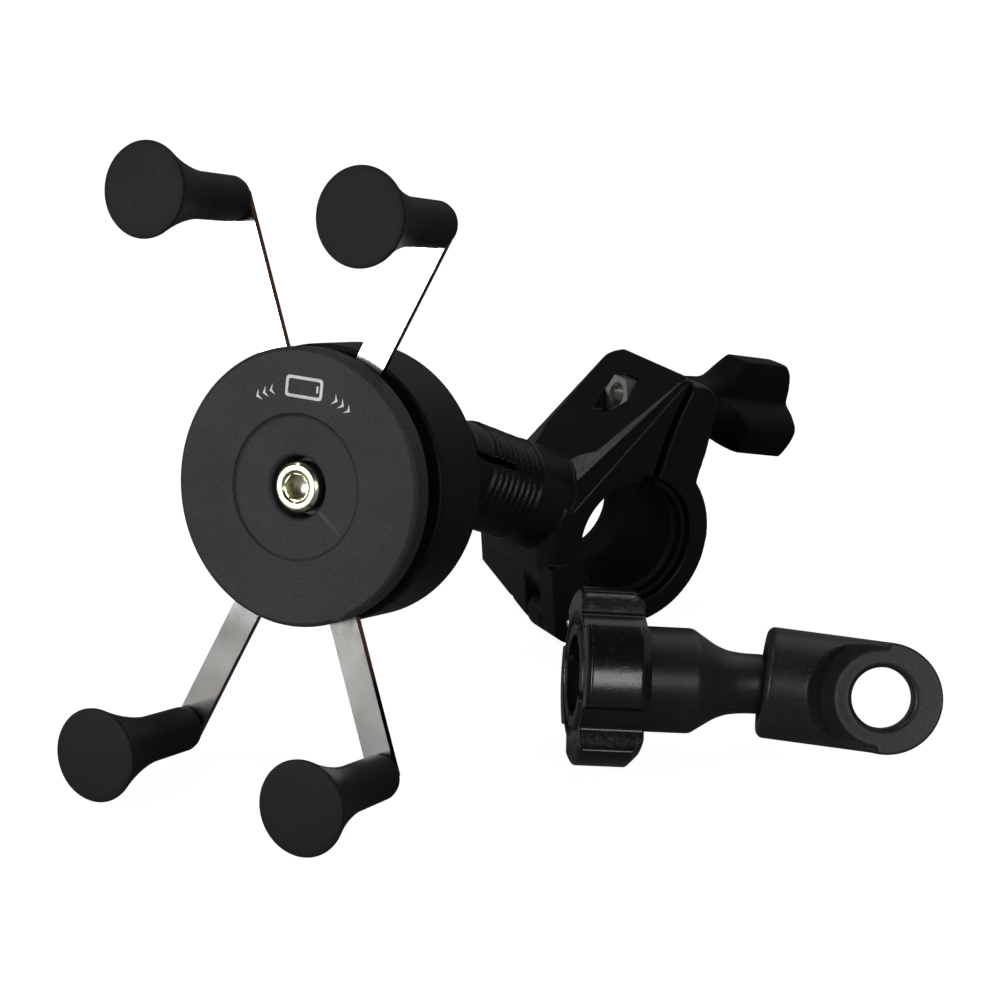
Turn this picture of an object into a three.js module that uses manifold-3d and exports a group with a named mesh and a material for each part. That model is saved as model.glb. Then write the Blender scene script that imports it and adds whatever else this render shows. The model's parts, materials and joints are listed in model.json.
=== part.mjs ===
// Phone holder for a motorcycle handlebar: a spring-loaded X of two crossed steel arms with rubber
// caps, a ball joint, a hinged handlebar clamp, and the loose mirror-stem arm with its ring nut.
// Units are millimetres, +Z is up, and everything stands or lies on the plane Z = 0.

import * as THREE from 'three';
import { mergeVertices } from 'three/addons/utils/BufferGeometryUtils.js';
import Module from 'manifold-3d';

const wasm = await Module();
wasm.setup();

// ---------------------------------------------------------------- driving dimensions

const GAP = 0.3; // clearance between pieces that touch

// holder head: z = 0 is the disc's front face, +z looks at the rider
const HEAD_HEIGHT = 58; // centre of the disc's front face above the table
const HEAD_LEAN = THREE.MathUtils.degToRad(77.08); // from lying face up to standing, leaning back
const DISC_R = 27.2;
const DISC_T = 4.5;
const RECESS_R = 14.07;
const RECESS_DEPTH = 0.9;
const COUNTERBORE_R = 6.1;
const COUNTERBORE_Z = -7;
const BOSS_R = 8.5;
const BOSS_END_Z = -8.6;
const BOLT_R = 2.9;
const BOLT_CLEAR_R = 3.3;
const HOUSING_R = 27.6;
const HOUSING_Z = [-25, -8.9]; // back edge and front face of the rear housing
const HOUSING_WALL = 2.2;

// crossed arms
const ARM_T = 1.5;
const ARM_W = 6.2;
const ARM_EYE_R = 12;
const ARM_REACH = 58.05; // from the pivot to a cap's axis
const ARM_HALF_ANGLE = THREE.MathUtils.degToRad(23.46); // from the vertical
const ARM_Z = -5.65; // mid-plane of both strips outside the hub
const ARM_STEP = { arm_a: 0, arm_b: 1.8 }; // how far back each eye is joggled
const JOGGLE_R = [15, 19];
const TANG_W = 5.2;
const TANG_TOP_Z = 12;

// rubber caps
const CAP_FACE_Z = 25.2;
const CAP_FACE_R = 9.12;
const CAP_STEM_R = 4.5;
const CAP_SPLAY = THREE.MathUtils.degToRad(1.6); // outwards, away from the pivot

// ball stud
const BALL_SETBACK = 62; // ball centre behind the disc's front face
const BALL_R = 7.5;
const STUD_R = 4.2;
const STUD_FLANGE_R = 24.6;
const SEAT_R = [7.8, 8.4];

// threaded ball socket, the same on the clamp and on the loose arm
const SOCKET_POCKET_R = 8.7;
const SOCKET_MOUTH_Z = -3.5;
const THREAD_Z = [2.4, 16.8];
const THREAD_R = 11.3;
const THREAD_ROOT_R = 10.6;
const THREAD_PITCH = 1.8;
const COLLAR_R = 11.4;
const SLIT_W = 1.5;
const SLIT_END_Z = 9.4;

// handlebar clamp: x points at the knob, y up through the lugs, z along the handlebar
const RING_CENTRE = new THREE.Vector3(14.9, 101.7, 21.3);
const RING_TURN = THREE.MathUtils.degToRad(-31.3); // of the handlebar's axis, seen from above
const RING_TILT = THREE.MathUtils.degToRad(-14.1); // of the lugs, about the handlebar's axis
const RING_R = 19.8;
const RING_FRONT_R = 22.5;
const RING_EDGE_R = 20.8; // of the front half's chamfered near edge
const RING_BORE_R = 14.9;
const RING_W = 31.6;
const LINER_R = [12.1, 14.6];
const LINER_LIP_R = 11;
const HINGE = new THREE.Vector2(-12, -19.6);
const HINGE_R = 4.9;
const HINGE_PIN_R = 1.6;
const HINGE_Z = [-2, 16.4];
const HINGE_WEB_ANGLE = THREE.MathUtils.degToRad(38);
const SCREW_Y = 29.8;
const SCREW_R = 2.4;
const SCREW_CLEAR_R = 2.8;
const NUT_FLATS = 8;
const SCREW_TIP_X = 1.9;
const LUG_SPLIT = [new THREE.Vector2(1.2, 17.2), new THREE.Vector2(9.7, 60)];
const SPLIT_GAP = 1.7;
const LUG_TOP_Y = { front: 38.6, rear: 37.2 };
const LUG_CORNER_R = { front: [6, 3], rear: [9, 2.5] }; // at the far end and the near end
const KNOB_X = [15.8, 41.6];
const KNOB_R = 12.3;
const KNOB_VALLEY_R = 6.4;
const KNOB_TIP_ANGLE = THREE.MathUtils.degToRad(17);

// loose arm: local x runs from the nut's centre to the eyelet's tip
const ARM_NUT_CENTRE = new THREE.Vector3(53.3, 30.5, 17.7);
const LOOSE_TURN = THREE.MathUtils.degToRad(34.5); // of the arm's axis, seen from above
const LOOSE_DROP = THREE.MathUtils.degToRad(5.4); // nose down on to the eyelet
const LOOSE_ROLL = THREE.MathUtils.degToRad(-21); // of the tab, off the vertical
const LOOSE_R = 10.5;
const NECK_R = 6;
const EYELET_X = [31, 67];
const EYELET_R = 11.2;
const SWIVEL_X = 37; // centre of the neck's ball
const SWIVEL_R = 5.4;
const EYELET_SWING = THREE.MathUtils.degToRad(11); // towards the rider's side
const EYELET_SAG = THREE.MathUtils.degToRad(0.8);
const TAB_T = 6.4;
const TAB_ROUND_X = 55.8;
const HOLE_X = 55;
const HOLE_R = 6.1;
const NUT_X = [-7.3, 5.6];
const NUT_R = 17.7;
const NUT_VALLEY_R = 13.6;
const NUT_BORE_R = 11.5;
const NUT_TURN = THREE.MathUtils.degToRad(-31);

// ---------------------------------------------------------------- materials

const finish = (color, roughness, metalness) =>
  new THREE.MeshStandardMaterial({ color, roughness, metalness });

const MOULDED = () => finish(0x26272a, 0.55, 0);
const SATIN = () => finish(0x1c1d1f, 0.42, 0);
const GLOSS = () => finish(0x141518, 0.2, 0);
const RUBBER = () => finish(0x1f2023, 0.85, 0);
const STEEL = () => finish(0xc9cacc, 0.16, 1);
const ZINC = () => finish(0xb9b594, 0.32, 1);
const NYLON = () => finish(0x222224, 0.5, 0);

// ---------------------------------------------------------------- solids

// A closed geometry as a manifold solid, with its faces turned outwards.
function solid(geometry) {
  const bare = geometry.clone();
  bare.deleteAttribute('normal');
  bare.deleteAttribute('uv');
  const merged = mergeVertices(bare, 1e-4);
  const place = merged.attributes.position.array;
  const corner = merged.index.array;
  const kept = [];
  let volume = 0;
  const [a, b, c] = [new THREE.Vector3(), new THREE.Vector3(), new THREE.Vector3()];
  for (let i = 0; i < corner.length; i += 3) {
    const [p, q, r] = [corner[i], corner[i + 1], corner[i + 2]];
    if (p === q || q === r || r === p) continue;
    kept.push(p, q, r);
    a.fromArray(place, p * 3);
    b.fromArray(place, q * 3);
    c.fromArray(place, r * 3);
    volume += a.dot(b.cross(c));
  }
  if (volume < 0) kept.reverse();
  const mesh = new wasm.Mesh({
    numProp: 3,
    vertProperties: new Float32Array(place),
    triVerts: new Uint32Array(kept),
  });
  mesh.merge();
  return new wasm.Manifold(mesh);
}

// A solid of revolution about z from [radius, z] pairs.
function turned(profile, segments = 48) {
  const points = profile.map(([r, z]) => new THREE.Vector2(r, z));
  return solid(new THREE.LatheGeometry(points, segments).rotateX(Math.PI / 2));
}

// A ring of revolution: its profile closes on itself, so it never meets the axis.
function ring(inner, outer, z0, z1, segments = 48) {
  return turned([[inner, z0], [outer, z0], [outer, z1], [inner, z1], [inner, z0]], segments);
}

function rod(radius, z0, z1, segments = 48) {
  return turned([[0, z0], [radius, z0], [radius, z1], [0, z1]], segments);
}

function block(x0, x1, y0, y1, z0, z1) {
  const box = new THREE.BoxGeometry(x1 - x0, y1 - y0, z1 - z0);
  return solid(box.translate((x0 + x1) / 2, (y0 + y1) / 2, (z0 + z1) / 2));
}

// An outline in x and y, raised from z0 to z1.
function prism(points, z0, z1) {
  const shape = new THREE.Shape(points.map(([x, y]) => new THREE.Vector2(x, y)));
  const raised = new THREE.ExtrudeGeometry(shape, { depth: z1 - z0, bevelEnabled: false });
  return solid(raised.translate(0, 0, z0));
}

function hexagon(flats) {
  const corner = flats / Math.sqrt(3);
  const at = (i) => (i * Math.PI) / 3;
  return Array.from({ length: 6 }, (_, i) => [corner * Math.cos(at(i)), corner * Math.sin(at(i))]);
}

// Points on a closed outline whose radius is a function of the angle.
function polarOutline(radius, count) {
  return Array.from({ length: count }, (_, i) => {
    const angle = (i * 2 * Math.PI) / count;
    return [radius(angle) * Math.cos(angle), radius(angle) * Math.sin(angle)];
  });
}

const moved = (body, matrix) => body.transform(matrix.elements);
const alongX = (body) => moved(body, new THREE.Matrix4().makeRotationY(Math.PI / 2));
const shifted = (body, x, y, z) => moved(body, new THREE.Matrix4().makeTranslation(x, y, z));
const turnedAboutZ = (body, angle) => moved(body, new THREE.Matrix4().makeRotationZ(angle));

// A named mesh from a manifold solid.
function piece(name, body, material) {
  const { vertProperties, triVerts } = body.getMesh();
  const geometry = new THREE.BufferGeometry();
  geometry.setAttribute('position', new THREE.BufferAttribute(vertProperties, 3));
  geometry.setIndex(new THREE.BufferAttribute(triVerts, 1));
  geometry.computeVertexNormals();
  const mesh = new THREE.Mesh(geometry, material);
  mesh.name = name;
  return mesh;
}

// ---------------------------------------------------------------- holder head

function frontDisc() {
  return turned([
    [BOLT_CLEAR_R, BOSS_END_Z], [BOSS_R, BOSS_END_Z], [BOSS_R, -DISC_T],
    [DISC_R - 0.5, -DISC_T], [DISC_R, -DISC_T + 0.5], [DISC_R, -0.8], [DISC_R - 0.8, 0],
    [RECESS_R + 0.3, 0], [RECESS_R, -RECESS_DEPTH], [COUNTERBORE_R, -RECESS_DEPTH],
    [COUNTERBORE_R, COUNTERBORE_Z], [BOLT_CLEAR_R, COUNTERBORE_Z], [BOLT_CLEAR_R, BOSS_END_Z],
  ], 56);
}

function rearHousing() {
  const [back, front] = HOUSING_Z;
  const inner = HOUSING_R - HOUSING_WALL;
  return turned([
    [BOLT_CLEAR_R, front], [HOUSING_R - 0.6, front], [HOUSING_R, front - 0.6],
    [HOUSING_R, back + 1], [HOUSING_R - 1, back], [inner, back],
    [inner, front - HOUSING_WALL], [BOLT_CLEAR_R, front - HOUSING_WALL], [BOLT_CLEAR_R, front],
  ], 56);
}

function centreBolt() {
  const body = turned([
    [0, -18], [BOLT_R, -18], [BOLT_R, -5.6], [5, -5.6], [5, -0.9], [4.5, -0.4], [0, -0.4],
  ], 36);
  return body.subtract(prism(hexagon(5), -3.6, 1));
}

const hexNut = (flats, bore, z0, z1) =>
  prism(hexagon(flats), z0, z1).subtract(rod(bore, z0 - 1, z1 + 1, 24));

function torsionSpring() {
  const [coilR, wireR, turns, startZ, rise] = [10.2, 0.8, 2.5, -14.2, 2.1];
  class Coil extends THREE.Curve {
    getPoint(t, target = new THREE.Vector3()) {
      const angle = t * turns * 2 * Math.PI;
      return target.set(coilR * Math.cos(angle), coilR * Math.sin(angle), startZ - rise * turns * t);
    }
  }
  const section = new THREE.Shape(
    polarOutline(() => wireR, 6).map(([x, y]) => new THREE.Vector2(x, y)));
  const options = { steps: 50, extrudePath: new Coil(), bevelEnabled: false };
  return solid(new THREE.ExtrudeGeometry(section, options));
}

// Tips a cap or its tang outwards about the strip's end.
function splayed(body) {
  const tip = new THREE.Matrix4().makeRotationX(-CAP_SPLAY);
  return shifted(moved(shifted(body, 0, 0, -ARM_Z), tip), 0, 0, ARM_Z);
}

// One strip with a cap's tang bent forward at each end, lying along y about the pivot.
// Its eye is stepped back inside the hub, so that the two strips lie in one plane outside it.
function armStrip(step) {
  const half = ARM_T / 2;
  const [low, high] = [ARM_Z - step - half, ARM_Z - step + half];
  const [near, far] = JOGGLE_R;
  const end = ARM_REACH + half;
  let body = rod(ARM_EYE_R, low, high, 40);
  const side = [
    [0, -half - step], [near, -half - step], [far, -half], [end, -half], [end, half],
    [far, half], [near, half - step], [0, half - step],
  ];
  const upright = new THREE.Matrix4().makeBasis(
    new THREE.Vector3(0, 1, 0), new THREE.Vector3(0, 0, 1), new THREE.Vector3(1, 0, 0));
  const strip = shifted(moved(prism(side, -ARM_W / 2, ARM_W / 2), upright), 0, 0, ARM_Z);
  const tang = block(-TANG_W / 2, TANG_W / 2, -half, half, ARM_Z - half, TANG_TOP_Z);
  const below = block(-10, 10, 0, 80, ARM_Z - half - 10, ARM_Z - half);
  const bent = shifted(splayed(tang), 0, ARM_REACH, 0).subtract(below);
  const limb = strip.add(bent);
  body = body.add(limb).add(turnedAboutZ(limb, Math.PI));
  return body.subtract(rod(BOSS_R + GAP, low - 1, high + 1, 40));
}

// A flared rubber cap about its own axis, with a pocket for the tang.
function rubberCap() {
  const end = ARM_Z + ARM_T / 2 + GAP;
  const flareStart = end + 12;
  const profile = [[0, end], [CAP_STEM_R - 1.2, end], [CAP_STEM_R, end + 1.2]];
  const steps = 5;
  for (let i = 0; i <= steps; i += 1) {
    const t = i / steps;
    const z = flareStart + (CAP_FACE_Z - 0.8 - flareStart) * t;
    profile.push([CAP_STEM_R + 0.3 + (CAP_FACE_R - CAP_STEM_R - 0.3) * t ** 1.6, z]);
  }
  profile.push([CAP_FACE_R - 0.3, CAP_FACE_Z - 0.3], [0, CAP_FACE_Z]);
  const pocketX = TANG_W / 2 + GAP;
  const pocketY = ARM_T / 2 + GAP;
  const pocket = block(-pocketX, pocketX, -pocketY, pocketY, end - 1, TANG_TOP_Z + GAP);
  return splayed(turned(profile, 30).subtract(pocket));
}

function ballStud() {
  const back = HOUSING_Z[0];
  const neckZ = -BALL_SETBACK + Math.sqrt(BALL_R ** 2 - STUD_R ** 2);
  const profile = [
    [0, back + 3], [STUD_FLANGE_R, back + 3], [STUD_FLANGE_R, back + 0.4], [15, back - 1.2],
    [12.5, back - 3], [8, back - 10], [5.6, back - 14], [STUD_R, back - 18], [STUD_R, neckZ],
  ];
  const first = Math.asin(STUD_R / BALL_R);
  const steps = 9;
  for (let i = 1; i <= steps; i += 1) {
    const angle = first + ((Math.PI - first) * i) / steps;
    const radius = i === steps ? 0 : BALL_R * Math.sin(angle);
    profile.push([radius, -BALL_SETBACK + BALL_R * Math.cos(angle)]);
  }
  return turned(profile, 36);
}

// ---------------------------------------------------------------- ball socket

const sphereAt = (radius) => solid(new THREE.SphereGeometry(radius, 24, 16).rotateX(Math.PI / 2));

// A split friction cup between the ball and the socket.
function ballSeat() {
  const [inner, outer] = SEAT_R;
  const from = Math.acos(-0.4);
  const to = Math.acos(0.75);
  const steps = 5;
  const arc = (radius, a, b) => Array.from({ length: steps + 1 }, (_, i) => {
    const angle = a + ((b - a) * i) / steps;
    return [radius * Math.sin(angle), radius * Math.cos(angle)];
  });
  const profile = [...arc(outer, from, to), ...arc(inner, to, from)];
  return turned([...profile, profile[0]], 28);
}

// The slit, threaded collet about +z, with the ball's centre at the origin.
function threadedSocket(length) {
  const profile = [[0, SOCKET_MOUTH_Z], [THREAD_ROOT_R - 0.6, SOCKET_MOUTH_Z],
    [THREAD_ROOT_R, SOCKET_MOUTH_Z + 0.8], [THREAD_ROOT_R, THREAD_Z[0]]];
  const count = Math.floor((THREAD_Z[1] - THREAD_Z[0]) / THREAD_PITCH);
  for (let i = 0; i < count; i += 1) {
    const z = THREAD_Z[0] + i * THREAD_PITCH;
    profile.push([THREAD_R, z + THREAD_PITCH * 0.4], [THREAD_R, z + THREAD_PITCH * 0.6]);
    profile.push([THREAD_ROOT_R, z + THREAD_PITCH]);
  }
  profile.push([THREAD_ROOT_R, THREAD_Z[1]], [COLLAR_R, THREAD_Z[1] + 0.8]);
  profile.push([COLLAR_R, length], [0, length]);
  let body = turned(profile, 30).subtract(sphereAt(SOCKET_POCKET_R));
  for (const turn of [Math.PI / 4, -Math.PI / 4]) {
    const slit = block(-20, 20, -SLIT_W / 2, SLIT_W / 2, -20, SLIT_END_Z);
    body = body.subtract(turnedAboutZ(slit, turn));
  }
  return body;
}

// ---------------------------------------------------------------- handlebar clamp

const ringMatrix = new THREE.Matrix4()
  .makeRotationZ(RING_TURN)
  .multiply(new THREE.Matrix4().makeRotationX(RING_TILT))
  .multiply(new THREE.Matrix4().makeBasis(
    new THREE.Vector3(0, 1, 0), new THREE.Vector3(0, 0, 1), new THREE.Vector3(1, 0, 0)))
  .setPosition(RING_CENTRE);

const headMatrix = new THREE.Matrix4().makeRotationX(HEAD_LEAN).setPosition(0, 0, HEAD_HEIGHT);
const ballCentre = new THREE.Vector3(0, 0, -BALL_SETBACK).applyMatrix4(headMatrix);
const socketAxis = RING_CENTRE.clone().sub(ballCentre).normalize();
const socketMatrix = new THREE.Matrix4()
  .makeRotationFromQuaternion(new THREE.Quaternion().setFromUnitVectors(
    new THREE.Vector3(0, 0, 1), socketAxis))
  .setPosition(ballCentre);

const HALF_W = RING_W / 2;
const hingeAngle = Math.atan2(HINGE.y, HINGE.x);
const hingeFar = [HINGE.x * 2.6, HINGE.y * 2.6];

// The side of the split that a half keeps, moved off the split by a clearance.
function keptSide(side, clearance) {
  const away = side * clearance;
  const across = [-Math.sin(hingeAngle), Math.cos(hingeAngle)].map((v) => v * side * -0.3);
  const [low, high] = LUG_SPLIT;
  const outline = [
    [away * 0.4, 0], [low.x + away, low.y], [high.x + away, high.y],
    [side * 90, high.y], [side * 90, -60], [hingeFar[0] - across[0], hingeFar[1] - across[1]],
  ];
  return prism(outline, -HALF_W - 1, HALF_W + 1);
}

const cylinderZ = (radius, x, y, z0, z1, segments = 48) =>
  shifted(rod(radius, z0, z1, segments), x, y, 0);

function frontLug() {
  const slope = [[-20.2, 9.6], [3, 36.8], [4.8, 38.2], [12, 38.6], [12, 0], [0, 0]];
  return prism(slope, -HALF_W, HALF_W);
}

// A block whose lower face lies on three points, on the side that outward points to.
function planeCut(top, first, second, outward) {
  const along = first.clone().sub(top).normalize();
  const normal = along.clone().cross(second.clone().sub(top)).normalize();
  if (normal.dot(outward) < 0) normal.negate();
  const third = normal.clone().cross(along);
  const frame = new THREE.Matrix4().makeBasis(along, third, normal).setPosition(top);
  return moved(block(-30, 38, -30, 30, 0, 30), frame);
}

// Two long facets cut off the slanted face's side edge, wide at the ring and narrow at the top.
function sideFacets(side) {
  const at = (x, y, inset) => new THREE.Vector3(x, y, side * (HALF_W - inset));
  const outward = new THREE.Vector3(-0.4, 0.35, side);
  const broad = planeCut(at(3, 36.8, 1.4), at(-20.2, 9.6, 6.5), at(-19.4, 8.9, 3), outward);
  const steep = planeCut(at(3.4, 36.5, 0.5), at(-19.4, 8.9, 3), at(-17, 6.8, 0), outward);
  return broad.add(steep);
}

// What rounds off the lugs' top corner at one end of the handlebar's axis.
function cornerRound(half, side) {
  const radius = LUG_CORNER_R[half][side < 0 ? 0 : 1];
  const [y, z] = [LUG_TOP_Y[half] - radius, HALF_W - radius];
  const corner = block(-20, 30, y, y + 30, z, z + 30);
  const kept = alongX(rod(radius, -40, 40, 40));
  const waste = corner.subtract(shifted(kept, 0, y, z));
  return side < 0 ? waste.mirror([0, 0, 1]) : waste;
}

// The hinge barrel's stretches for one half: the front half has both ends, the rear the middle.
function hingeSpans(first, clearance) {
  const [low, high] = HINGE_Z;
  const third = (high - low) / 3;
  const middle = [low + third + clearance, high - third - clearance];
  return first ? [[low, middle[0]], [middle[1], high]] : [middle];
}

const hingeRods = (radius, spans) =>
  spans.map(([z0, z1]) => cylinderZ(radius, HINGE.x, HINGE.y, z0, z1, 28));

// A web that carries a knuckle over to its own half of the ring.
function hingeWeb(side, [z0, z1]) {
  const onRing = hingeAngle + side * HINGE_WEB_ANGLE;
  const radius = (side < 0 ? RING_FRONT_R : RING_R) - 0.4;
  const tangent = hingeAngle + side * (Math.PI / 2 - 0.6);
  const outer = [HINGE.x + HINGE_R * Math.cos(tangent), HINGE.y + HINGE_R * Math.sin(tangent)];
  const root = [radius * Math.cos(onRing), radius * Math.sin(onRing)];
  const inner = root.map((v) => 0.8 * v);
  return prism([[HINGE.x, HINGE.y], outer, root, inner, [0.86 * HINGE.x, 0.86 * HINGE.y]], z0, z1);
}

// The slope from the far edge of the ring out to the near knuckle.
function hingeTaper() {
  const out = new THREE.Vector3(Math.cos(hingeAngle), Math.sin(hingeAngle), 0);
  const near = out.clone().multiplyScalar(HINGE.length() + HINGE_R).setZ(6);
  const far = out.clone().multiplyScalar(RING_FRONT_R + 0.2).setZ(-HALF_W);
  const aside = near.clone().add(new THREE.Vector3(-out.y, out.x, 0));
  return planeCut(near, far, aside, out);
}

function clampRing(first) {
  if (!first) return cylinderZ(RING_R, 0, 0, -HALF_W, HALF_W, 64);
  return turned([
    [0, -HALF_W], [RING_FRONT_R - 0.6, -HALF_W], [RING_FRONT_R, -HALF_W + 0.8], [RING_FRONT_R, 10.5],
    [RING_FRONT_R - 0.7, 14], [RING_EDGE_R, HALF_W], [0, HALF_W],
  ], 64);
}

function clampHalf(side, lug, boss = null) {
  const first = side < 0;
  let body = clampRing(first).add(lug);
  for (const end of [-1, 1]) {
    body = body.subtract(cornerRound(first ? 'front' : 'rear', end));
    if (first) body = body.subtract(sideFacets(end));
  }
  body = body.intersect(keptSide(side, first ? 0 : SPLIT_GAP));
  const reliefs = hingeRods(HINGE_R + GAP, hingeSpans(!first, -GAP / 2));
  for (const relief of reliefs) body = body.subtract(relief);
  const spans = hingeSpans(first, GAP / 2 * side);
  for (const knuckle of hingeRods(HINGE_R, spans)) body = body.add(knuckle);
  if (first) spans[0][0] = -HALF_W;
  for (const span of spans) body = body.add(hingeWeb(side, span));
  if (first) body = body.subtract(hingeTaper());
  if (boss) body = body.add(boss);
  body = body.subtract(cylinderZ(RING_BORE_R, 0, 0, -HALF_W - 1, HALF_W + 1, 60));
  return body.subtract(cylinderZ(HINGE_PIN_R + GAP, HINGE.x, HINGE.y, -20, 20, 20));
}

const acrossScrew = (body) => shifted(alongX(body), 0, SCREW_Y, 0);

function clampFrontHalf() {
  const toRing = ringMatrix.clone().invert().multiply(socketMatrix);
  const socketLength = ballCentre.distanceTo(RING_CENTRE) - RING_BORE_R;
  const socketBoss = moved(threadedSocket(socketLength), toRing);
  let body = clampHalf(-1, frontLug(), socketBoss);
  body = body.subtract(acrossScrew(prism(hexagon(NUT_FLATS + 0.7), -20, SCREW_TIP_X - GAP)));
  return body.subtract(acrossScrew(rod(SCREW_CLEAR_R + 0.2, -5, 12, 28)));
}

function clampRearHalf() {
  const lug = prism([
    [0, 0], [2, 34], [4.6, 36.9], [8, 37.3], [11, 36.6], [13.3, 34.8], [14, 32.6],
    [14, 22], [13.2, 15.4], [13.2, 0],
  ], -HALF_W, HALF_W);
  return clampHalf(1, lug).subtract(acrossScrew(rod(SCREW_CLEAR_R, -5, 25, 28)));
}

// A rubber liner for one half: a lip inside its far rim and a step inside its near rim.
function liner(side) {
  const [inner, outer] = LINER_R;
  const z = HALF_W - 1.2;
  const wall = turned([
    [inner, -z + 3], [LINER_LIP_R, -z + 2], [LINER_LIP_R, -z], [outer, -z], [outer, z],
    [inner + 1.2, z], [inner + 1.2, z - 2], [inner, z - 3], [inner, -z + 3],
  ], 48);
  const low = side < 0 ? Math.PI / 2 + 0.08 : hingeAngle + 0.1;
  const high = side < 0 ? hingeAngle + 2 * Math.PI - 0.1 : Math.PI / 2 - 0.18;
  const sector = [[0, 0]];
  const steps = 8;
  for (let i = 0; i <= steps; i += 1) {
    const angle = low + ((high - low) * i) / steps;
    sector.push([30 * Math.cos(angle), 30 * Math.sin(angle)]);
  }
  return wall.intersect(prism(sector, -20, 20));
}

function hingePin() {
  const [low, high] = [HINGE_Z[0] - 0.3, HINGE_Z[1] + 0.3];
  return shifted(turned([
    [0, low], [HINGE_PIN_R - 0.3, low], [HINGE_PIN_R, low + 0.4], [HINGE_PIN_R, high - 0.4],
    [HINGE_PIN_R - 0.3, high], [0, high],
  ], 20), HINGE.x, HINGE.y, 0);
}

// Three-lobed knob along +z, its neck at z = 0.
function clampKnob() {
  const length = KNOB_X[1] - KNOB_X[0];
  const third = (2 * Math.PI) / 3;
  const lobes = (angle) => {
    const off = Math.abs(((angle + third / 2) % third) - third / 2);
    if (off <= KNOB_TIP_ANGLE) return (KNOB_R * Math.cos(KNOB_TIP_ANGLE)) / Math.cos(off);
    const along = (off - KNOB_TIP_ANGLE) / (third / 2 - KNOB_TIP_ANGLE);
    return KNOB_VALLEY_R + (KNOB_R - KNOB_VALLEY_R) * (1 - along) ** 1.5;
  };
  const grip = prism(polarOutline(lobes, 54), 0, length);
  const envelope = turned([
    [0, 0], [6, 0], [6.2, 4.6], [7.6, 8], [10, 10.6], [KNOB_R + 0.5, 13],
    [KNOB_R + 0.5, length - 2], [KNOB_R - 1.2, length], [0, length],
  ], 36);
  const neck = rod(6, 0, 7, 32);
  return grip.intersect(envelope).add(neck).subtract(rod(SCREW_R + GAP, -1, length - 8, 24));
}

// ---------------------------------------------------------------- loose mirror-stem arm

// Socket, cylinder, cone and neck about +z, ending in the small ball inside the eyelet's cup.
function armSocket() {
  const start = -BALL_R;
  const profile = [
    [0, NUT_X[1] - 1.5], [LOOSE_R, NUT_X[1] - 1.5], [LOOSE_R, 16.2], [LOOSE_R - 0.8, 17.2],
    [7.6, 21], [NECK_R + 0.5, 23], [NECK_R, 25], [NECK_R, EYELET_X[0]],
    [4.5, SWIVEL_X - 4],
  ];
  const steps = 6;
  for (let i = 0; i <= steps; i += 1) {
    const angle = Math.PI * (0.72 - (0.72 * i) / steps);
    const radius = i === steps ? 0 : SWIVEL_R * Math.sin(angle);
    profile.push([radius, SWIVEL_X + SWIVEL_R * Math.cos(angle)]);
  }
  const threads = [[0, start], [THREAD_ROOT_R - 0.4, start], [THREAD_ROOT_R, start + 0.6]];
  const count = Math.floor((NUT_X[1] - start - 2) / THREAD_PITCH);
  for (let i = 0; i < count; i += 1) {
    const z = start + 0.8 + i * THREAD_PITCH;
    threads.push([THREAD_R - 0.1, z + THREAD_PITCH * 0.5], [THREAD_ROOT_R, z + THREAD_PITCH]);
  }
  threads.push([THREAD_ROOT_R, NUT_X[1]], [0, NUT_X[1]]);
  let body = turned(threads, 30).add(turned(profile, 36));
  body = body.subtract(shifted(sphereAt(SOCKET_POCKET_R), 0, 0, start - SOCKET_MOUTH_Z));
  for (const turn of [0, Math.PI / 2]) {
    const slit = block(-20, 20, -SLIT_W / 2, SLIT_W / 2, -20, start + SLIT_END_Z);
    body = body.subtract(turnedAboutZ(slit, turn));
  }
  return body;
}

function ringNut() {
  const spread = THREE.MathUtils.degToRad(27);
  const fade = THREE.MathUtils.degToRad(9);
  const lobes = (angle) => {
    const quarter = Math.PI / 2;
    const off = Math.abs(((angle + quarter / 2) % quarter) - quarter / 2);
    const drop = THREE.MathUtils.clamp((off - spread) / fade, 0, 1);
    return NUT_R - (NUT_R - NUT_VALLEY_R) * drop;
  };
  const [z0, z1] = NUT_X;
  const body = prism(polarOutline(lobes, 64), z0, z1);
  const envelope = turned([
    [0, z0], [NUT_R - 1.4, z0], [NUT_R + 0.2, z0 + 1], [NUT_R + 0.2, z1 - 2.4],
    [NUT_R - 2.2, z1], [0, z1],
  ], 64);
  return body.intersect(envelope).subtract(rod(NUT_BORE_R, z0 - 1, z1 + 1, 48));
}

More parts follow.
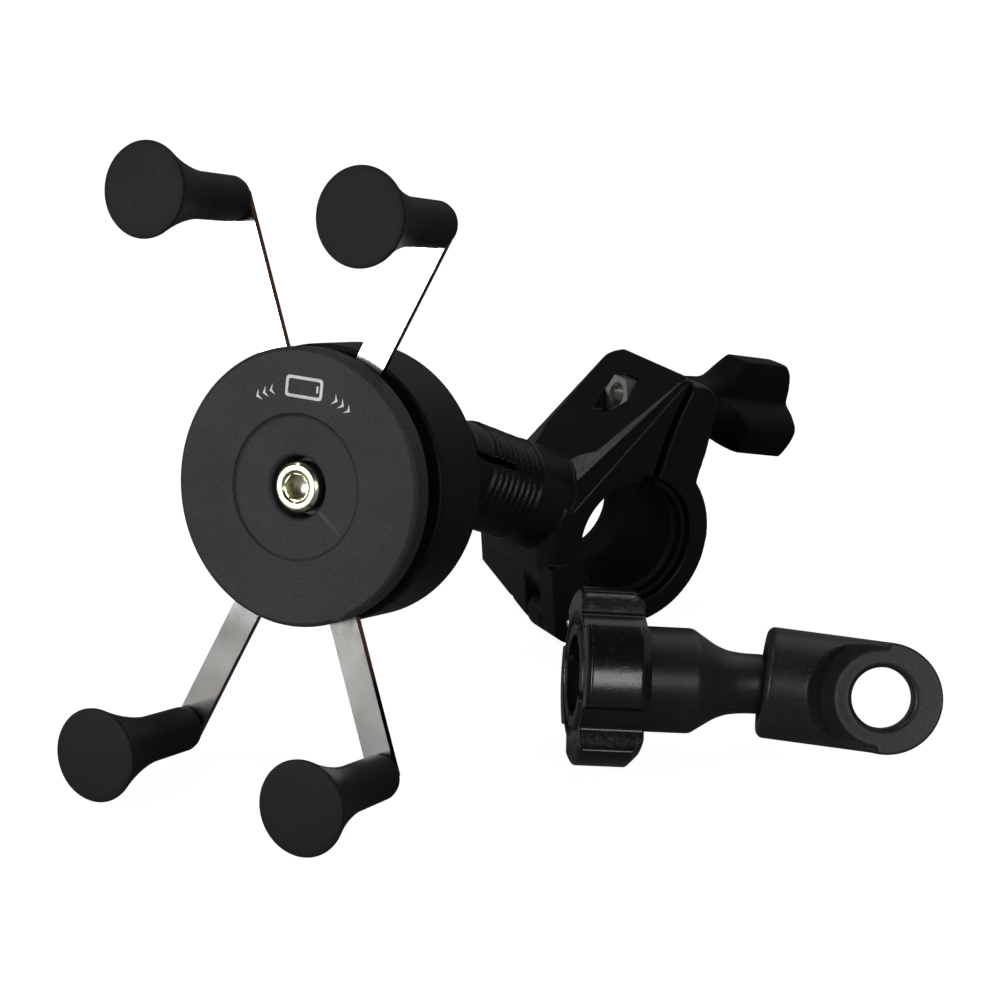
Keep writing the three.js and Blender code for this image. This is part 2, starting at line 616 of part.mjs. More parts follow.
// Cup and flat tab about +z, the tab's broad faces looking along y.
function eyelet() {
  const [start, end] = EYELET_X;
  const barrel = turned([
    [0, start], [EYELET_R - 0.9, start], [EYELET_R, start + 0.9], [EYELET_R, HOLE_X], [0, HOLE_X],
  ], 40);
  const across = new THREE.Matrix4().makeRotationX(Math.PI / 2);
  const tip = across.clone().setPosition(0, 0, TAB_ROUND_X);
  const round = moved(rod(end - TAB_ROUND_X, -12, 12, 48), tip);
  const tab = block(-EYELET_R, EYELET_R, -TAB_T / 2, TAB_T / 2, start + 14, TAB_ROUND_X)
    .intersect(rod(EYELET_R, start, TAB_ROUND_X, 40))
    .add(round.intersect(block(-20, 20, -TAB_T / 2, TAB_T / 2, TAB_ROUND_X - 1, end + 1)));
  let body = barrel;
  for (const side of [-1, 1]) {
    const ramp = [
      [TAB_ROUND_X - 8, TAB_T / 2], [end + 9, TAB_T / 2], [end + 9, 20], [TAB_ROUND_X - 18, 20],
      [TAB_ROUND_X - 16, EYELET_R + 0.2], [TAB_ROUND_X - 13.8, 7.4], [TAB_ROUND_X - 11.4, 4.6],
    ];
    const outline = ramp.map(([z, y]) => [z, y * side]);
    const turn = new THREE.Matrix4().makeBasis(
      new THREE.Vector3(0, 0, 1), new THREE.Vector3(0, 1, 0), new THREE.Vector3(-1, 0, 0));
    body = body.subtract(moved(prism(outline, -20, 20), turn));
  }
  const cup = turned([
    [0, start - 1], [NECK_R + 2.3, start - 1], [NECK_R + 2.1, start + 0.4],
    [SWIVEL_R + 0.6, SWIVEL_X - 3], [SWIVEL_R + 0.6, SWIVEL_X + 1.4],
    [SWIVEL_R - 1, SWIVEL_X + 5.2], [0, SWIVEL_X + 6],
  ], 32);
  const hole = moved(rod(HOLE_R, -20, 20, 40), across.clone().setPosition(0, 0, HOLE_X));
  return body.add(tab).subtract(cup).subtract(hole);
}

// ---------------------------------------------------------------- assembly

const mount = new THREE.Group();
mount.name = 'phone_handlebar_mount';

const head = new THREE.Group();
head.applyMatrix4(headMatrix);
head.add(piece('front_disc', frontDisc(), MOULDED()));
head.add(piece('rear_housing', rearHousing(), SATIN()));
head.add(piece('centre_bolt', centreBolt(), ZINC()));
head.add(piece('bolt_washer', ring(BOLT_CLEAR_R, 5.6, -6.7, -5.9, 32), ZINC()));
head.add(piece('lock_nut', hexNut(10, BOLT_CLEAR_R, -16.8, -11.5), ZINC()));
head.add(piece('torsion_spring', torsionSpring(), STEEL()));
head.add(piece('ball_stud', ballStud(), SATIN()));
for (const [name, sign] of [['arm_a', 1], ['arm_b', -1]]) {
  const arm = new THREE.Group();
  arm.rotation.z = sign * ARM_HALF_ANGLE;
  arm.add(piece(name, armStrip(ARM_STEP[name]), STEEL()));
  for (const [end, spin] of [['top', 0], ['bottom', Math.PI]]) {
    const side = (end === 'top') === (sign > 0) ? 'left' : 'right';
    const spot = new THREE.Group();
    spot.rotation.z = spin;
    const cap = piece(`cap_${end}_${side}`, rubberCap(), RUBBER());
    cap.position.y = ARM_REACH;
    spot.add(cap);
    arm.add(spot);
  }
  head.add(arm);
}
mount.add(head);

const socket = new THREE.Group();
socket.applyMatrix4(socketMatrix);
socket.add(piece('ball_seat', ballSeat(), NYLON()));
mount.add(socket);

const clamp = new THREE.Group();
clamp.applyMatrix4(ringMatrix);
clamp.add(piece('clamp_front_half', clampFrontHalf(), SATIN()));
clamp.add(piece('clamp_rear_half', clampRearHalf(), SATIN()));
clamp.add(piece('liner_front', liner(-1), RUBBER()));
clamp.add(piece('liner_rear', liner(1), RUBBER()));
clamp.add(piece('hinge_pin', hingePin(), ZINC()));
const screwLine = new THREE.Group();
screwLine.position.y = SCREW_Y;
screwLine.rotation.y = Math.PI / 2;
const nutBack = SCREW_TIP_X - 2 * GAP;
screwLine.add(piece('clamp_nut', hexNut(NUT_FLATS, SCREW_CLEAR_R, nutBack - 4, nutBack), STEEL()));
screwLine.add(piece('knob_washer', ring(SCREW_CLEAR_R, 5.8, KNOB_X[0] - 1.5, KNOB_X[0] - GAP, 28), STEEL()));
screwLine.add(piece('clamp_screw', rod(SCREW_R, SCREW_TIP_X, KNOB_X[1] - 8 - GAP, 24), STEEL()));
const knob = piece('clamp_knob', clampKnob(), MOULDED());
knob.position.z = KNOB_X[0];
knob.rotation.z = Math.PI / 2;
screwLine.add(knob);
clamp.add(screwLine);
mount.add(clamp);

const loose = new THREE.Group();
loose.position.copy(ARM_NUT_CENTRE);
loose.rotation.set(0, LOOSE_DROP, LOOSE_TURN, 'ZYX');
const looseLine = new THREE.Group();
looseLine.rotation.set(0, Math.PI / 2, 0);
looseLine.add(piece('arm_socket', armSocket(), SATIN()));
const nut = piece('ring_nut', ringNut(), GLOSS());
nut.rotation.z = NUT_TURN;
looseLine.add(nut);
loose.add(looseLine);
mount.add(loose);
const swivel = new THREE.Group();
swivel.position.set(0, 0, SWIVEL_X);
swivel.rotation.set(EYELET_SWING, EYELET_SAG, 0);
const eyeletPiece = piece('eyelet', eyelet(), SATIN());
eyeletPiece.position.z = -SWIVEL_X;
const roll = new THREE.Group();
roll.rotation.z = LOOSE_ROLL;
roll.add(eyeletPiece);
swivel.add(roll);
looseLine.add(swivel);

// The origin goes under the middle of the whole kit.
mount.updateMatrixWorld(true);
const extent = new THREE.Box3().setFromObject(mount, true);
const middle = extent.getCenter(new THREE.Vector3());
mount.position.set(-middle.x, -middle.y, -extent.min.z);

export default mount;
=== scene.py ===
# %% [markdown]
# # A phone holder for a handlebar
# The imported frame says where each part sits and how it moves. This lesson dresses it: the moulded
# parts are built again with fine curves and soft corners, and each finish gets its own grain.

# %% Load the frame
import json
import math

import bmesh
import bpy
from mathutils import Matrix, Vector


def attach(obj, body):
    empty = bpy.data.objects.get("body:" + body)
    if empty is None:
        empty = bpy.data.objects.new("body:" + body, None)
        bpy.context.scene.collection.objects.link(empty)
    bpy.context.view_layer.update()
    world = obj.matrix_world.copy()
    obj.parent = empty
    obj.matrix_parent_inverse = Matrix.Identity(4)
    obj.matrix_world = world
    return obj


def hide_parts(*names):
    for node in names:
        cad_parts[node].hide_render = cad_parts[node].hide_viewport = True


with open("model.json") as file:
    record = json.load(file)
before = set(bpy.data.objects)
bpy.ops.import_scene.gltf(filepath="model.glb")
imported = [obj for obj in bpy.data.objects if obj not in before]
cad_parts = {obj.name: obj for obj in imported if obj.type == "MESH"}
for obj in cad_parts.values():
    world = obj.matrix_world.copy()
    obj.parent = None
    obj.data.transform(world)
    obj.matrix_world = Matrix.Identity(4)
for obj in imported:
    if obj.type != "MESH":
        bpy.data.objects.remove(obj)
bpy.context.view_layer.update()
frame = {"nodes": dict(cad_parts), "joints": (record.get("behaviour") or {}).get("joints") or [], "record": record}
RECORD = frame["record"]
JOINT = {joint["name"]: joint for joint in frame["joints"]}
MOUNT = {mount["name"]: mount for mount in RECORD["mounts"]}
MM = 0.001

# %% [markdown]
# Every part is drawn about its own natural axis, in millimetres, as a maker would dimension it.
# A local frame then carries it to its place. The frames come from the joints: the head's z axis is
# the pin the strips turn on, the clamp's z axis is the handlebar, and so on.

# %% Local frames
def axes(origin, z, x=None):
    """A matrix from millimetres in a part's own frame to metres in the shared frame."""
    z = Vector(z).normalized()
    if x is None:
        turn = Vector((0, 0, 1)).rotation_difference(z).to_matrix()
    else:
        x = Vector(x).normalized()
        turn = Matrix((x, z.cross(x), z)).transposed()
    return Matrix.Translation(Vector(origin)) @ turn.to_4x4() @ Matrix.Scale(MM, 4)


PIVOT = Vector(JOINT["arm_a_swing"]["pos_m"])
HEAD = axes(PIVOT, JOINT["arm_a_swing"]["axis"], (1, 0, 0))
BALL = axes(JOINT["socket_turn"]["pos_m"], JOINT["socket_turn"]["axis"])
RING_CENTRE = Vector(MOUNT["handlebar_bore"]["pos_m"])
BAR_AXIS = Vector(MOUNT["handlebar_bore"]["axis"])
CLAMP = axes(RING_CENTRE, BAR_AXIS, JOINT["knob_turn"]["axis"])
ARM_AXIS = Vector(JOINT["ring_nut_turn"]["axis"])
LEVEL = Vector((0, 0, 1)).cross(ARM_AXIS).normalized()
LOOSE = axes(JOINT["ring_nut_turn"]["pos_m"], ARM_AXIS, LEVEL.cross(ARM_AXIS))
TAB_OUT = -Vector(MOUNT["eyelet_tab_face"]["axis"])
SWIVEL_AXIS = Vector(JOINT["eyelet_swivel"]["axis"])
SWIVEL_X = 37
EYELET = axes(JOINT["eyelet_swivel"]["pos_m"], SWIVEL_AXIS, TAB_OUT.cross(SWIVEL_AXIS)) \
    @ Matrix.Translation((0, 0, -SWIVEL_X))
lean = Vector(JOINT["arm_a_swing"]["axis"]).angle((0, 0, 1))
print("head leans", round(math.degrees(lean), 1), "degrees")

# %% [markdown]
# ## The camera
# The camera is placed from the centre of the disc, so it follows the part if the frame's origin
# ever moves.

# %% Camera
camera_data = bpy.data.cameras.new("camera")
camera_data.sensor_width = 36
camera_data.lens = 88.36
camera = bpy.data.objects.new("camera", camera_data)
camera.location = PIVOT + Vector((0.24885, -0.37264, 0.156))
LOOK = Vector((-0.45204, 0.82680, -0.33474)).normalized()
camera.rotation_euler = LOOK.to_track_quat("-Z", "Y").to_euler()
bpy.context.scene.collection.objects.link(camera)
bpy.context.scene.camera = camera
print("camera", [round(v, 3) for v in camera.location])

# %% [markdown]
# ## The room
# A floor, a surround and four square lamps. Black plastic is only seen by what it reflects, so the
# surround is pale only low down at the walls and dim above, and three of the lamps are small: two
# on the left, one at the front right. The fourth is wide and stands behind. So dim a room would
# turn the paper grey, so floor and surround are white to the camera alone (the Light Path node).

# %% Making materials and pieces
def new_material(name):
    material = bpy.data.materials.new(name)
    material.use_nodes = True
    return material, material.node_tree.nodes, material.node_tree.links


def put(mesh, name, body, material, smooth=True):
    """A finished mesh becomes a piece that rides on its body and wears its finish."""
    piece = bpy.data.objects.new(name, mesh)
    bpy.context.scene.collection.objects.link(piece)
    piece.data.materials.clear()
    piece.data.materials.append(material)
    if smooth:
        piece.data.shade_smooth()
    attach(piece, body)
    return piece


print("finish and piece helpers ready")

# %% Floor
FLOOR_HALF = 3.0
FLOOR_DROP = 0.0002
FLOOR_TONE = 0.3
FLOOR_GLOW = 0.94
floor_mesh = bpy.data.meshes.new("floor")
floor_mesh.from_pydata(
    [(x * FLOOR_HALF, y * FLOOR_HALF, -FLOOR_DROP) for x, y in ((-1, -1), (1, -1), (1, 1), (-1, 1))],
    [], [(0, 1, 2, 3)])
floor = bpy.data.objects.new("floor", floor_mesh)
bpy.context.scene.collection.objects.link(floor)
floor_paint, nodes, links = new_material("floor_paper")
nodes["Principled BSDF"].inputs["Base Color"].default_value = (FLOOR_TONE, FLOOR_TONE, FLOOR_TONE, 1)
nodes["Principled BSDF"].inputs["Roughness"].default_value = 0.9
seen = nodes.new("ShaderNodeLightPath")
glow = nodes.new("ShaderNodeMath")
glow.operation = "MULTIPLY"
glow.inputs[1].default_value = FLOOR_GLOW
links.new(seen.outputs["Is Camera Ray"], glow.inputs[0])
nodes["Principled BSDF"].inputs["Emission Color"].default_value = (1, 1, 1, 1)
links.new(glow.outputs[0], nodes["Principled BSDF"].inputs["Emission Strength"])
floor_mesh.materials.append(floor_paint)
print("floor", 2 * FLOOR_HALF, "m wide")

# %% Surround
WALL_LIGHT = 0.24
CEILING_LIGHT = 0.045
WALL_FADE_Z = (0.10, 0.45)
world = bpy.data.worlds.new("surround")
bpy.context.scene.world = world
world.use_nodes = True
nodes, links = world.node_tree.nodes, world.node_tree.links
heading = nodes.new("ShaderNodeTexCoord")
parts = nodes.new("ShaderNodeSeparateXYZ")
walls = nodes.new("ShaderNodeMapRange")
walls.inputs["From Min"].default_value = WALL_FADE_Z[0]
walls.inputs["From Max"].default_value = WALL_FADE_Z[1]
walls.inputs["To Min"].default_value = WALL_LIGHT
walls.inputs["To Max"].default_value = CEILING_LIGHT
lit = nodes.new("ShaderNodeMath")
lit.operation = "MAXIMUM"
seen = nodes.new("ShaderNodeLightPath")
links.new(heading.outputs["Generated"], parts.inputs["Vector"])
links.new(parts.outputs["Z"], walls.inputs["Value"])
links.new(walls.outputs["Result"], lit.inputs[0])
links.new(seen.outputs["Is Camera Ray"], lit.inputs[1])
nodes["Background"].inputs["Color"].default_value = (1, 1, 1, 1)
links.new(lit.outputs[0], nodes["Background"].inputs["Strength"])
bpy.context.scene.view_settings.view_transform = "Standard"
bpy.context.scene.view_settings.look = "None"
print("surround from", WALL_LIGHT, "at the walls to", CEILING_LIGHT, "overhead")


# %% Lamps
def lamp(name, place, size, watts):
    light = bpy.data.lights.new(name, "AREA")
    light.size = size
    light.energy = watts
    lamp_object = bpy.data.objects.new(name, light)
    lamp_object.location = place
    aim = Vector((0, 0, 0.05)) - Vector(place)
    lamp_object.rotation_euler = aim.to_track_quat("-Z", "Y").to_euler()
    bpy.context.scene.collection.objects.link(lamp_object)


lamp("key_left", (-0.53, -1.03, 0.33), 0.42, 6)
lamp("high_left", (-0.55, -0.12, 0.92), 0.2, 1.2)
lamp("front_right", (0.70, -0.66, 0.36), 0.3, 2.0)
lamp("back_top", (0.3, 1.0, 1.3), 1.5, 6)
print("four lamps")

# %% [markdown]
# ## Shared surface effects
# Moulded nylon, rubber and steel all show the same small things in different strengths: a fine
# grain from the mould or the wheel, bright rubbed corners, faint greasy smudges, hairline
# scratches and a little dust on top. Each effect is a node group with named sockets, so a finish
# is a recipe of strengths.

# %% Node group helpers
def new_group(name, inputs, outputs):
    group = bpy.data.node_groups.new(name, "ShaderNodeTree")
    for socket, value in inputs.items():
        made = group.interface.new_socket(socket, in_out="INPUT", socket_type="NodeSocketFloat")
        made.default_value = value
    for socket, kind in outputs.items():
        group.interface.new_socket(socket, in_out="OUTPUT", socket_type=kind)
    entry = group.nodes.new("NodeGroupInput")
    leave = group.nodes.new("NodeGroupOutput")
    return group, entry, leave


def calc(tree, kind, a, b=None, clamp=False):
    """One maths node. Its inputs are sockets or plain numbers."""
    node = tree.nodes.new("ShaderNodeMath")
    node.operation = kind
    node.use_clamp = clamp
    for index, value in enumerate((a, b)):
        if value is None:
            continue
        if isinstance(value, (int, float)):
            node.inputs[index].default_value = value
        else:
            tree.links.new(value, node.inputs[index])
    return node.outputs[0]


def spread(tree, value, low, high, to_low=0.0, to_high=1.0):
    """Stretches a range of a mask to a new range, and clips the rest."""
    node = tree.nodes.new("ShaderNodeMapRange")
    tree.links.new(value, node.inputs["Value"])
    for socket, number in zip(("From Min", "From Max", "To Min", "To Max"), (low, high, to_low, to_high)):
        if isinstance(number, (int, float)):
            node.inputs[socket].default_value = number
        else:
            tree.links.new(number, node.inputs[socket])
    return node.outputs["Result"]


def noise(tree, scale, detail=2.0, stretch=(1, 1, 1), roughness=0.5):
    """Noise in the piece's own coordinates, scaled per metre."""
    where = tree.nodes.new("ShaderNodeTexCoord")
    mapping = tree.nodes.new("ShaderNodeMapping")
    mapping.inputs["Scale"].default_value = stretch
    tree.links.new(where.outputs["Object"], mapping.inputs["Vector"])
    texture = tree.nodes.new("ShaderNodeTexNoise")
    tree.links.new(mapping.outputs["Vector"], texture.inputs["Vector"])
    texture.inputs["Detail"].default_value = detail
    texture.inputs["Roughness"].default_value = roughness
    if isinstance(scale, (int, float)):
        texture.inputs["Scale"].default_value = scale
    else:
        tree.links.new(scale, texture.inputs["Scale"])
    return texture.outputs["Fac"]


# %% Mould grain
GRAIN, entry, leave = new_group(
    "mould_grain", {"Scale": 2600.0, "Mottle": 0.5}, {"Height": "NodeSocketFloat", "Tone": "NodeSocketFloat"})
fine = noise(GRAIN, entry.outputs["Scale"], 3.0)
pebble = GRAIN.nodes.new("ShaderNodeTexVoronoi")
pebble_where = GRAIN.nodes.new("ShaderNodeTexCoord")
GRAIN.links.new(pebble_where.outputs["Object"], pebble.inputs["Vector"])
GRAIN.links.new(entry.outputs["Scale"], pebble.inputs["Scale"])
pebbles = calc(GRAIN, "MULTIPLY", pebble.outputs["Distance"], 0.5)
height = calc(GRAIN, "ADD", calc(GRAIN, "MULTIPLY", fine, 0.6), pebbles)
cloud = spread(GRAIN, noise(GRAIN, 55.0, 4.0), 0.3, 0.7)
mottle = calc(GRAIN, "MULTIPLY", cloud, entry.outputs["Mottle"])
speckle = calc(GRAIN, "MULTIPLY", spread(GRAIN, fine, 0.38, 0.62), 0.6)
tone = calc(GRAIN, "ADD", mottle, speckle)
GRAIN.links.new(height, leave.inputs["Height"])
GRAIN.links.new(tone, leave.inputs["Tone"])

# %% Rubbed edges
WEAR, entry, leave = new_group(
    "rubbed_edges", {"Reach": 0.06, "Breaks": 260.0}, {"Mask": "NodeSocketFloat"})
shape = WEAR.nodes.new("ShaderNodeNewGeometry")
start = calc(WEAR, "SUBTRACT", 0.56, calc(WEAR, "MULTIPLY", entry.outputs["Reach"], 0.5))
end = calc(WEAR, "ADD", start, entry.outputs["Reach"])
edge = spread(WEAR, shape.outputs["Pointiness"], start, end)
patch = spread(WEAR, noise(WEAR, entry.outputs["Breaks"], 4.0), 0.42, 0.66)
WEAR.links.new(calc(WEAR, "MULTIPLY", edge, patch), leave.inputs["Mask"])

# %% Handling marks
MARKS, entry, leave = new_group(
    "handling_marks", {"Smudge": 0.5, "Scratch": 0.2},
    {"Sheen": "NodeSocketFloat", "Lines": "NodeSocketFloat", "Dust": "NodeSocketFloat"})
smudge = spread(MARKS, noise(MARKS, 42.0, 3.0, roughness=0.65), 0.38, 0.68)
MARKS.links.new(calc(MARKS, "MULTIPLY", smudge, entry.outputs["Smudge"]), leave.inputs["Sheen"])
hair_a = spread(MARKS, noise(MARKS, 60.0, 2.0, stretch=(1.2, 14, 26)), 0.66, 0.72)
hair_b = spread(MARKS, noise(MARKS, 60.0, 2.0, stretch=(22, 2, 9)), 0.67, 0.72)
hairs = calc(MARKS, "MAXIMUM", hair_a, hair_b)
MARKS.links.new(calc(MARKS, "MULTIPLY", hairs, entry.outputs["Scratch"]), leave.inputs["Lines"])
MARKS.links.new(spread(MARKS, noise(MARKS, 900.0, 6.0, roughness=0.8), 0.62, 0.8), leave.inputs["Dust"])
print("effects:", GRAIN.name, WEAR.name, MARKS.name)


# %% [markdown]
# ## Moulded and rubber finishes
# One builder makes every black polymer here. The differences are the grain size, how rough it is,
# how bright its corners rub and how much it shows fingers. The nut is polished, the caps are soft
# and dull, the disc has a slightly lighter spark-eroded face, and the loose arm a lighter satin
# than the clamp.

# %% Polymer recipe
def add_group(tree, group, **values):
    node = tree.nodes.new("ShaderNodeGroup")
    node.node_tree = group
    for socket, value in values.items():
        node.inputs[socket].default_value = value
    return node


def blend_colour(tree, mask, first, second):
    """Mixes two colours by a mask. Each is a socket or an (r, g, b)."""
    mix = tree.nodes.new("ShaderNodeMix")
    mix.data_type = "RGBA"
    tree.links.new(mask, mix.inputs[0])
    for index, colour in ((6, first), (7, second)):
        if isinstance(colour, tuple):
            mix.inputs[index].default_value = (*colour, 1)
        else:
            tree.links.new(colour, mix.inputs[index])
    return mix.outputs[2]


def polymer(name, dark, light, rough, grain, depth, wear=0.05, smudge=0.4, scratch=0.1, mottle=0.5,
            worn=(0.12, 0.12, 0.125), specular=0.3):
    material, nodes, links = new_material(name)
    tree = material.node_tree
    shader = nodes["Principled BSDF"]
    texture = add_group(tree, GRAIN, Scale=grain, Mottle=mottle)
    edges = add_group(tree, WEAR, Reach=0.08)
    marks = add_group(tree, MARKS, Smudge=smudge, Scratch=scratch)
    colour = blend_colour(tree, texture.outputs["Tone"], dark, light)
    colour = blend_colour(tree, calc(tree, "MULTIPLY", edges.outputs["Mask"], wear * 10), colour, worn)
    colour = blend_colour(tree, calc(tree, "MULTIPLY", marks.outputs["Dust"], 0.10), colour, (0.3, 0.3, 0.3))
    colour = blend_colour(tree, calc(tree, "MULTIPLY", marks.outputs["Lines"], 0.5), colour, worn)
    links.new(colour, shader.inputs["Base Color"])
    sheen = calc(tree, "MULTIPLY", marks.outputs["Sheen"], -0.22 * rough)
    tone_share = calc(tree, "MULTIPLY", texture.outputs["Tone"], 0.08)
    surface = calc(tree, "ADD", calc(tree, "ADD", sheen, rough), tone_share)
    links.new(calc(tree, "ADD", surface, calc(tree, "MULTIPLY", marks.outputs["Lines"], 0.25), clamp=True),
              shader.inputs["Roughness"])
    shader.inputs["Specular IOR Level"].default_value = specular
    bump = nodes.new("ShaderNodeBump")
    bump.inputs["Strength"].default_value = 1.0
    bump.inputs["Distance"].default_value = depth
    relief = calc(tree, "SUBTRACT", texture.outputs["Height"], marks.outputs["Lines"])
    links.new(relief, bump.inputs["Height"])
    links.new(bump.outputs["Normal"], shader.inputs["Normal"])
    return material


DISC_FACE = polymer("disc_face_grain", (0.018, 0.018, 0.021), (0.052, 0.052, 0.057), 0.56, 3000, 0.00003,
                    smudge=0.5, mottle=0.35, specular=0.22)
HOUSING = polymer("housing_black", (0.003, 0.003, 0.0035), (0.006, 0.006, 0.007), 0.46, 2400, 0.00002,
                  worn=(0.04, 0.04, 0.04), specular=0.15)
SATIN = polymer("nylon_satin", (0.003, 0.003, 0.0035), (0.007, 0.007, 0.008), 0.31, 1900, 0.00002,
                smudge=0.5, scratch=0.03, worn=(0.05, 0.05, 0.055), specular=0.22)
KNOB = polymer("knob_black", (0.002, 0.002, 0.0025), (0.004, 0.004, 0.0045), 0.52, 2200, 0.00003,
               scratch=0.04, worn=(0.04, 0.04, 0.042), specular=0.1)
ARM_SATIN = polymer("arm_satin", (0.009, 0.010, 0.012), (0.020, 0.021, 0.025), 0.36, 1900, 0.00002,
                    smudge=0.5, scratch=0.03, worn=(0.08, 0.08, 0.085), specular=0.32)
GLOSS = polymer("nut_gloss", (0.003, 0.003, 0.004), (0.007, 0.007, 0.009), 0.17, 1500, 0.00001,
                smudge=0.5, scratch=0.35, wear=0.06, worn=(0.08, 0.08, 0.085), specular=0.42)
RUBBER = polymer("cap_rubber", (0.004, 0.004, 0.006), (0.009, 0.009, 0.012), 0.62, 3600, 0.00002,
                 wear=0.02, smudge=0.35, scratch=0.02, worn=(0.05, 0.05, 0.055), specular=0.25)
LINER = polymer("liner_rubber", (0.003, 0.003, 0.003), (0.006, 0.006, 0.006), 0.6, 2600, 0.00003, wear=0.02,
                worn=(0.03, 0.03, 0.03), specular=0.2)
SEAT = polymer("seat_nylon", (0.008, 0.008, 0.009), (0.014, 0.014, 0.015), 0.5, 1800, 0.00002,
               worn=(0.04, 0.04, 0.04), specular=0.25)
PRINT = polymer("white_print", (0.75, 0.76, 0.78), (0.9, 0.91, 0.93), 0.5, 2400, 0.00001,
                worn=(0.5, 0.5, 0.5))
print("polymer finishes made")


# %% [markdown]
# ## Metals
# The strips are mirror-rolled stainless: they show the lamps and the walls, with long faint roll
# lines and a brown sheared edge. The bolt and its nut are zinc plated with a yellow-green
# passivation, and the washer under the head is zinc darkened almost to black: painted shade where it
# sits deep in the counterbore. The spring, the clamp's screw, its nut and its washer are plain bright
# steel, and the hinge pin is a warmer one.

# %% Metal recipe
def metal(name, bright, dull, rough, lines=(1, 1, 1), smudge=0.5, edge=None, edge_axis=None):
    material, nodes, links = new_material(name)
    tree = material.node_tree
    shader = nodes["Principled BSDF"]
    shader.inputs["Metallic"].default_value = 1.0
    marks = add_group(tree, MARKS, Smudge=smudge, Scratch=0.4)
    roll = noise(tree, 220.0, 3.0, stretch=lines)
    stain = spread(tree, noise(tree, 120.0, 4.0), 0.35, 0.75)
    colour = blend_colour(tree, stain, bright, dull)
    colour = blend_colour(tree, calc(tree, "MULTIPLY", marks.outputs["Lines"], 0.6), colour, dull)
    if edge:
        where = nodes.new("ShaderNodeTexCoord")
        dot = nodes.new("ShaderNodeVectorMath")
        dot.operation = "DOT_PRODUCT"
        dot.inputs[1].default_value = edge_axis
        links.new(where.outputs["Normal"], dot.inputs[0])
        side = spread(tree, calc(tree, "ABSOLUTE", dot.outputs["Value"]), 0.55, 0.8)
        colour = blend_colour(tree, side, colour, edge)
    links.new(colour, shader.inputs["Base Color"])
    surface = calc(tree, "ADD", rough, calc(tree, "MULTIPLY", marks.outputs["Sheen"], 0.16))
    rolled = calc(tree, "ADD", surface, calc(tree, "MULTIPLY", roll, 0.07), clamp=True)
    links.new(rolled, shader.inputs["Roughness"])
    bump = nodes.new("ShaderNodeBump")
    bump.inputs["Distance"].default_value = 0.000004
    links.new(calc(tree, "SUBTRACT", roll, marks.outputs["Lines"]), bump.inputs["Height"])
    links.new(bump.outputs["Normal"], shader.inputs["Normal"])
    return material


ARM_LEAN = math.radians(23.46)
HEAD_TURN = HEAD.to_3x3().normalized()
ARM_SIDE = {name: HEAD_TURN @ Vector((math.cos(sign * ARM_LEAN), math.sin(sign * ARM_LEAN), 0))
            for name, sign in (("arm_a", 1), ("arm_b", -1))}
STRIP = {name: metal(f"rolled_strip_{name[-1]}", (0.80, 0.79, 0.77), (0.62, 0.60, 0.57), 0.07, (6, 1, 1),
                     edge=(0.16, 0.075, 0.04), edge_axis=side)
         for name, side in ARM_SIDE.items()}
STEEL = metal("turned_steel", (0.78, 0.77, 0.75), (0.56, 0.55, 0.53), 0.16)
ZINC = metal("passivated_zinc", (0.80, 0.79, 0.60), (0.60, 0.62, 0.40), 0.17, smudge=0.6)
# Zinc darkened almost to black for the washer: painted shade, standing in for the shadow deep in the counterbore.
SHADE_DARK_ZINC = metal("washer_zinc_painted_shade", (0.10, 0.10, 0.08), (0.05, 0.05, 0.04), 0.5)
PIN = metal("pin_end", (0.88, 0.85, 0.76), (0.70, 0.66, 0.55), 0.3)
print("metal finishes made")


# %% [markdown]
# ## Drawing tools
# A turned part is a profile swept round an axis, and a moulded part is a few simple solids joined
# and cut. Real corners are never sharp: `rounded` softens the corners of an outline, and `moulded`
# rebuilds a cut solid as a fine even skin whose corners are then relaxed by about half a
# millimetre, which is what gives a plastic edge its soft line of light.

# %% Outlines
def rounded(points, radius, steps=4, loop=False):
    """Softens the corners of an outline. The ends of an open outline stay."""
    soft = []
    count = len(points)
    for index, point in enumerate(points):
        here = Vector(point)
        if not loop and index in (0, count - 1):
            soft.append(here)
            continue
        back = Vector(points[index - 1]) - here
        ahead = Vector(points[(index + 1) % count]) - here
        reach = min(radius, 0.45 * min(back.length, ahead.length))
        first = here + back.normalized() * reach
        last = here + ahead.normalized() * reach
        for step in range(steps + 1):
            t = step / steps
            soft.append(first * (1 - t) ** 2 + here * 2 * t * (1 - t) + last * t * t)
    return soft


def polar(radius_at, count):
    turn = [2 * math.pi * i / count for i in range(count)]
    return [(radius_at(a) * math.cos(a), radius_at(a) * math.sin(a)) for a in turn]


def hexagon(flats):
    corner = flats / math.sqrt(3)
    return [(corner * math.cos(i * math.pi / 3), corner * math.sin(i * math.pi / 3)) for i in range(6)]


# %% Solids
def finished(bm, name):
    bmesh.ops.remove_doubles(bm, verts=bm.verts, dist=1e-5)
    bmesh.ops.recalc_face_normals(bm, faces=bm.faces)
    mesh = bpy.data.meshes.new(name)
    bm.to_mesh(mesh)
    bm.free()
    return mesh


def turned(profile, segments=128, name="turned", loop=False):
    """A solid of revolution about z from (radius, z) points."""
    bm = bmesh.new()
    rings = []
    for radius, z in profile:
        if radius < 1e-6:
            rings.append([bm.verts.new((0, 0, z))])
            continue
        angles = [2 * math.pi * i / segments for i in range(segments)]
        rings.append([bm.verts.new((radius * math.cos(a), radius * math.sin(a), z)) for a in angles])
    pairs = list(zip(rings, rings[1:] + rings[:1])) if loop else list(zip(rings, rings[1:]))
    for near, far in pairs:
        if len(near) == 1 and len(far) == 1:
            continue
        for i in range(segments):
            k = (i + 1) % segments
            corners = [near[0] if len(near) == 1 else near[i], far[0] if len(far) == 1 else far[i]]
            if len(far) > 1:
                corners.append(far[k])
            if len(near) > 1:
                corners.append(near[k])
            bm.faces.new(corners)
    return finished(bm, name)


def rod(radius, z0, z1, segments=96):
    return turned([(0, z0), (radius, z0), (radius, z1), (0, z1)], segments)


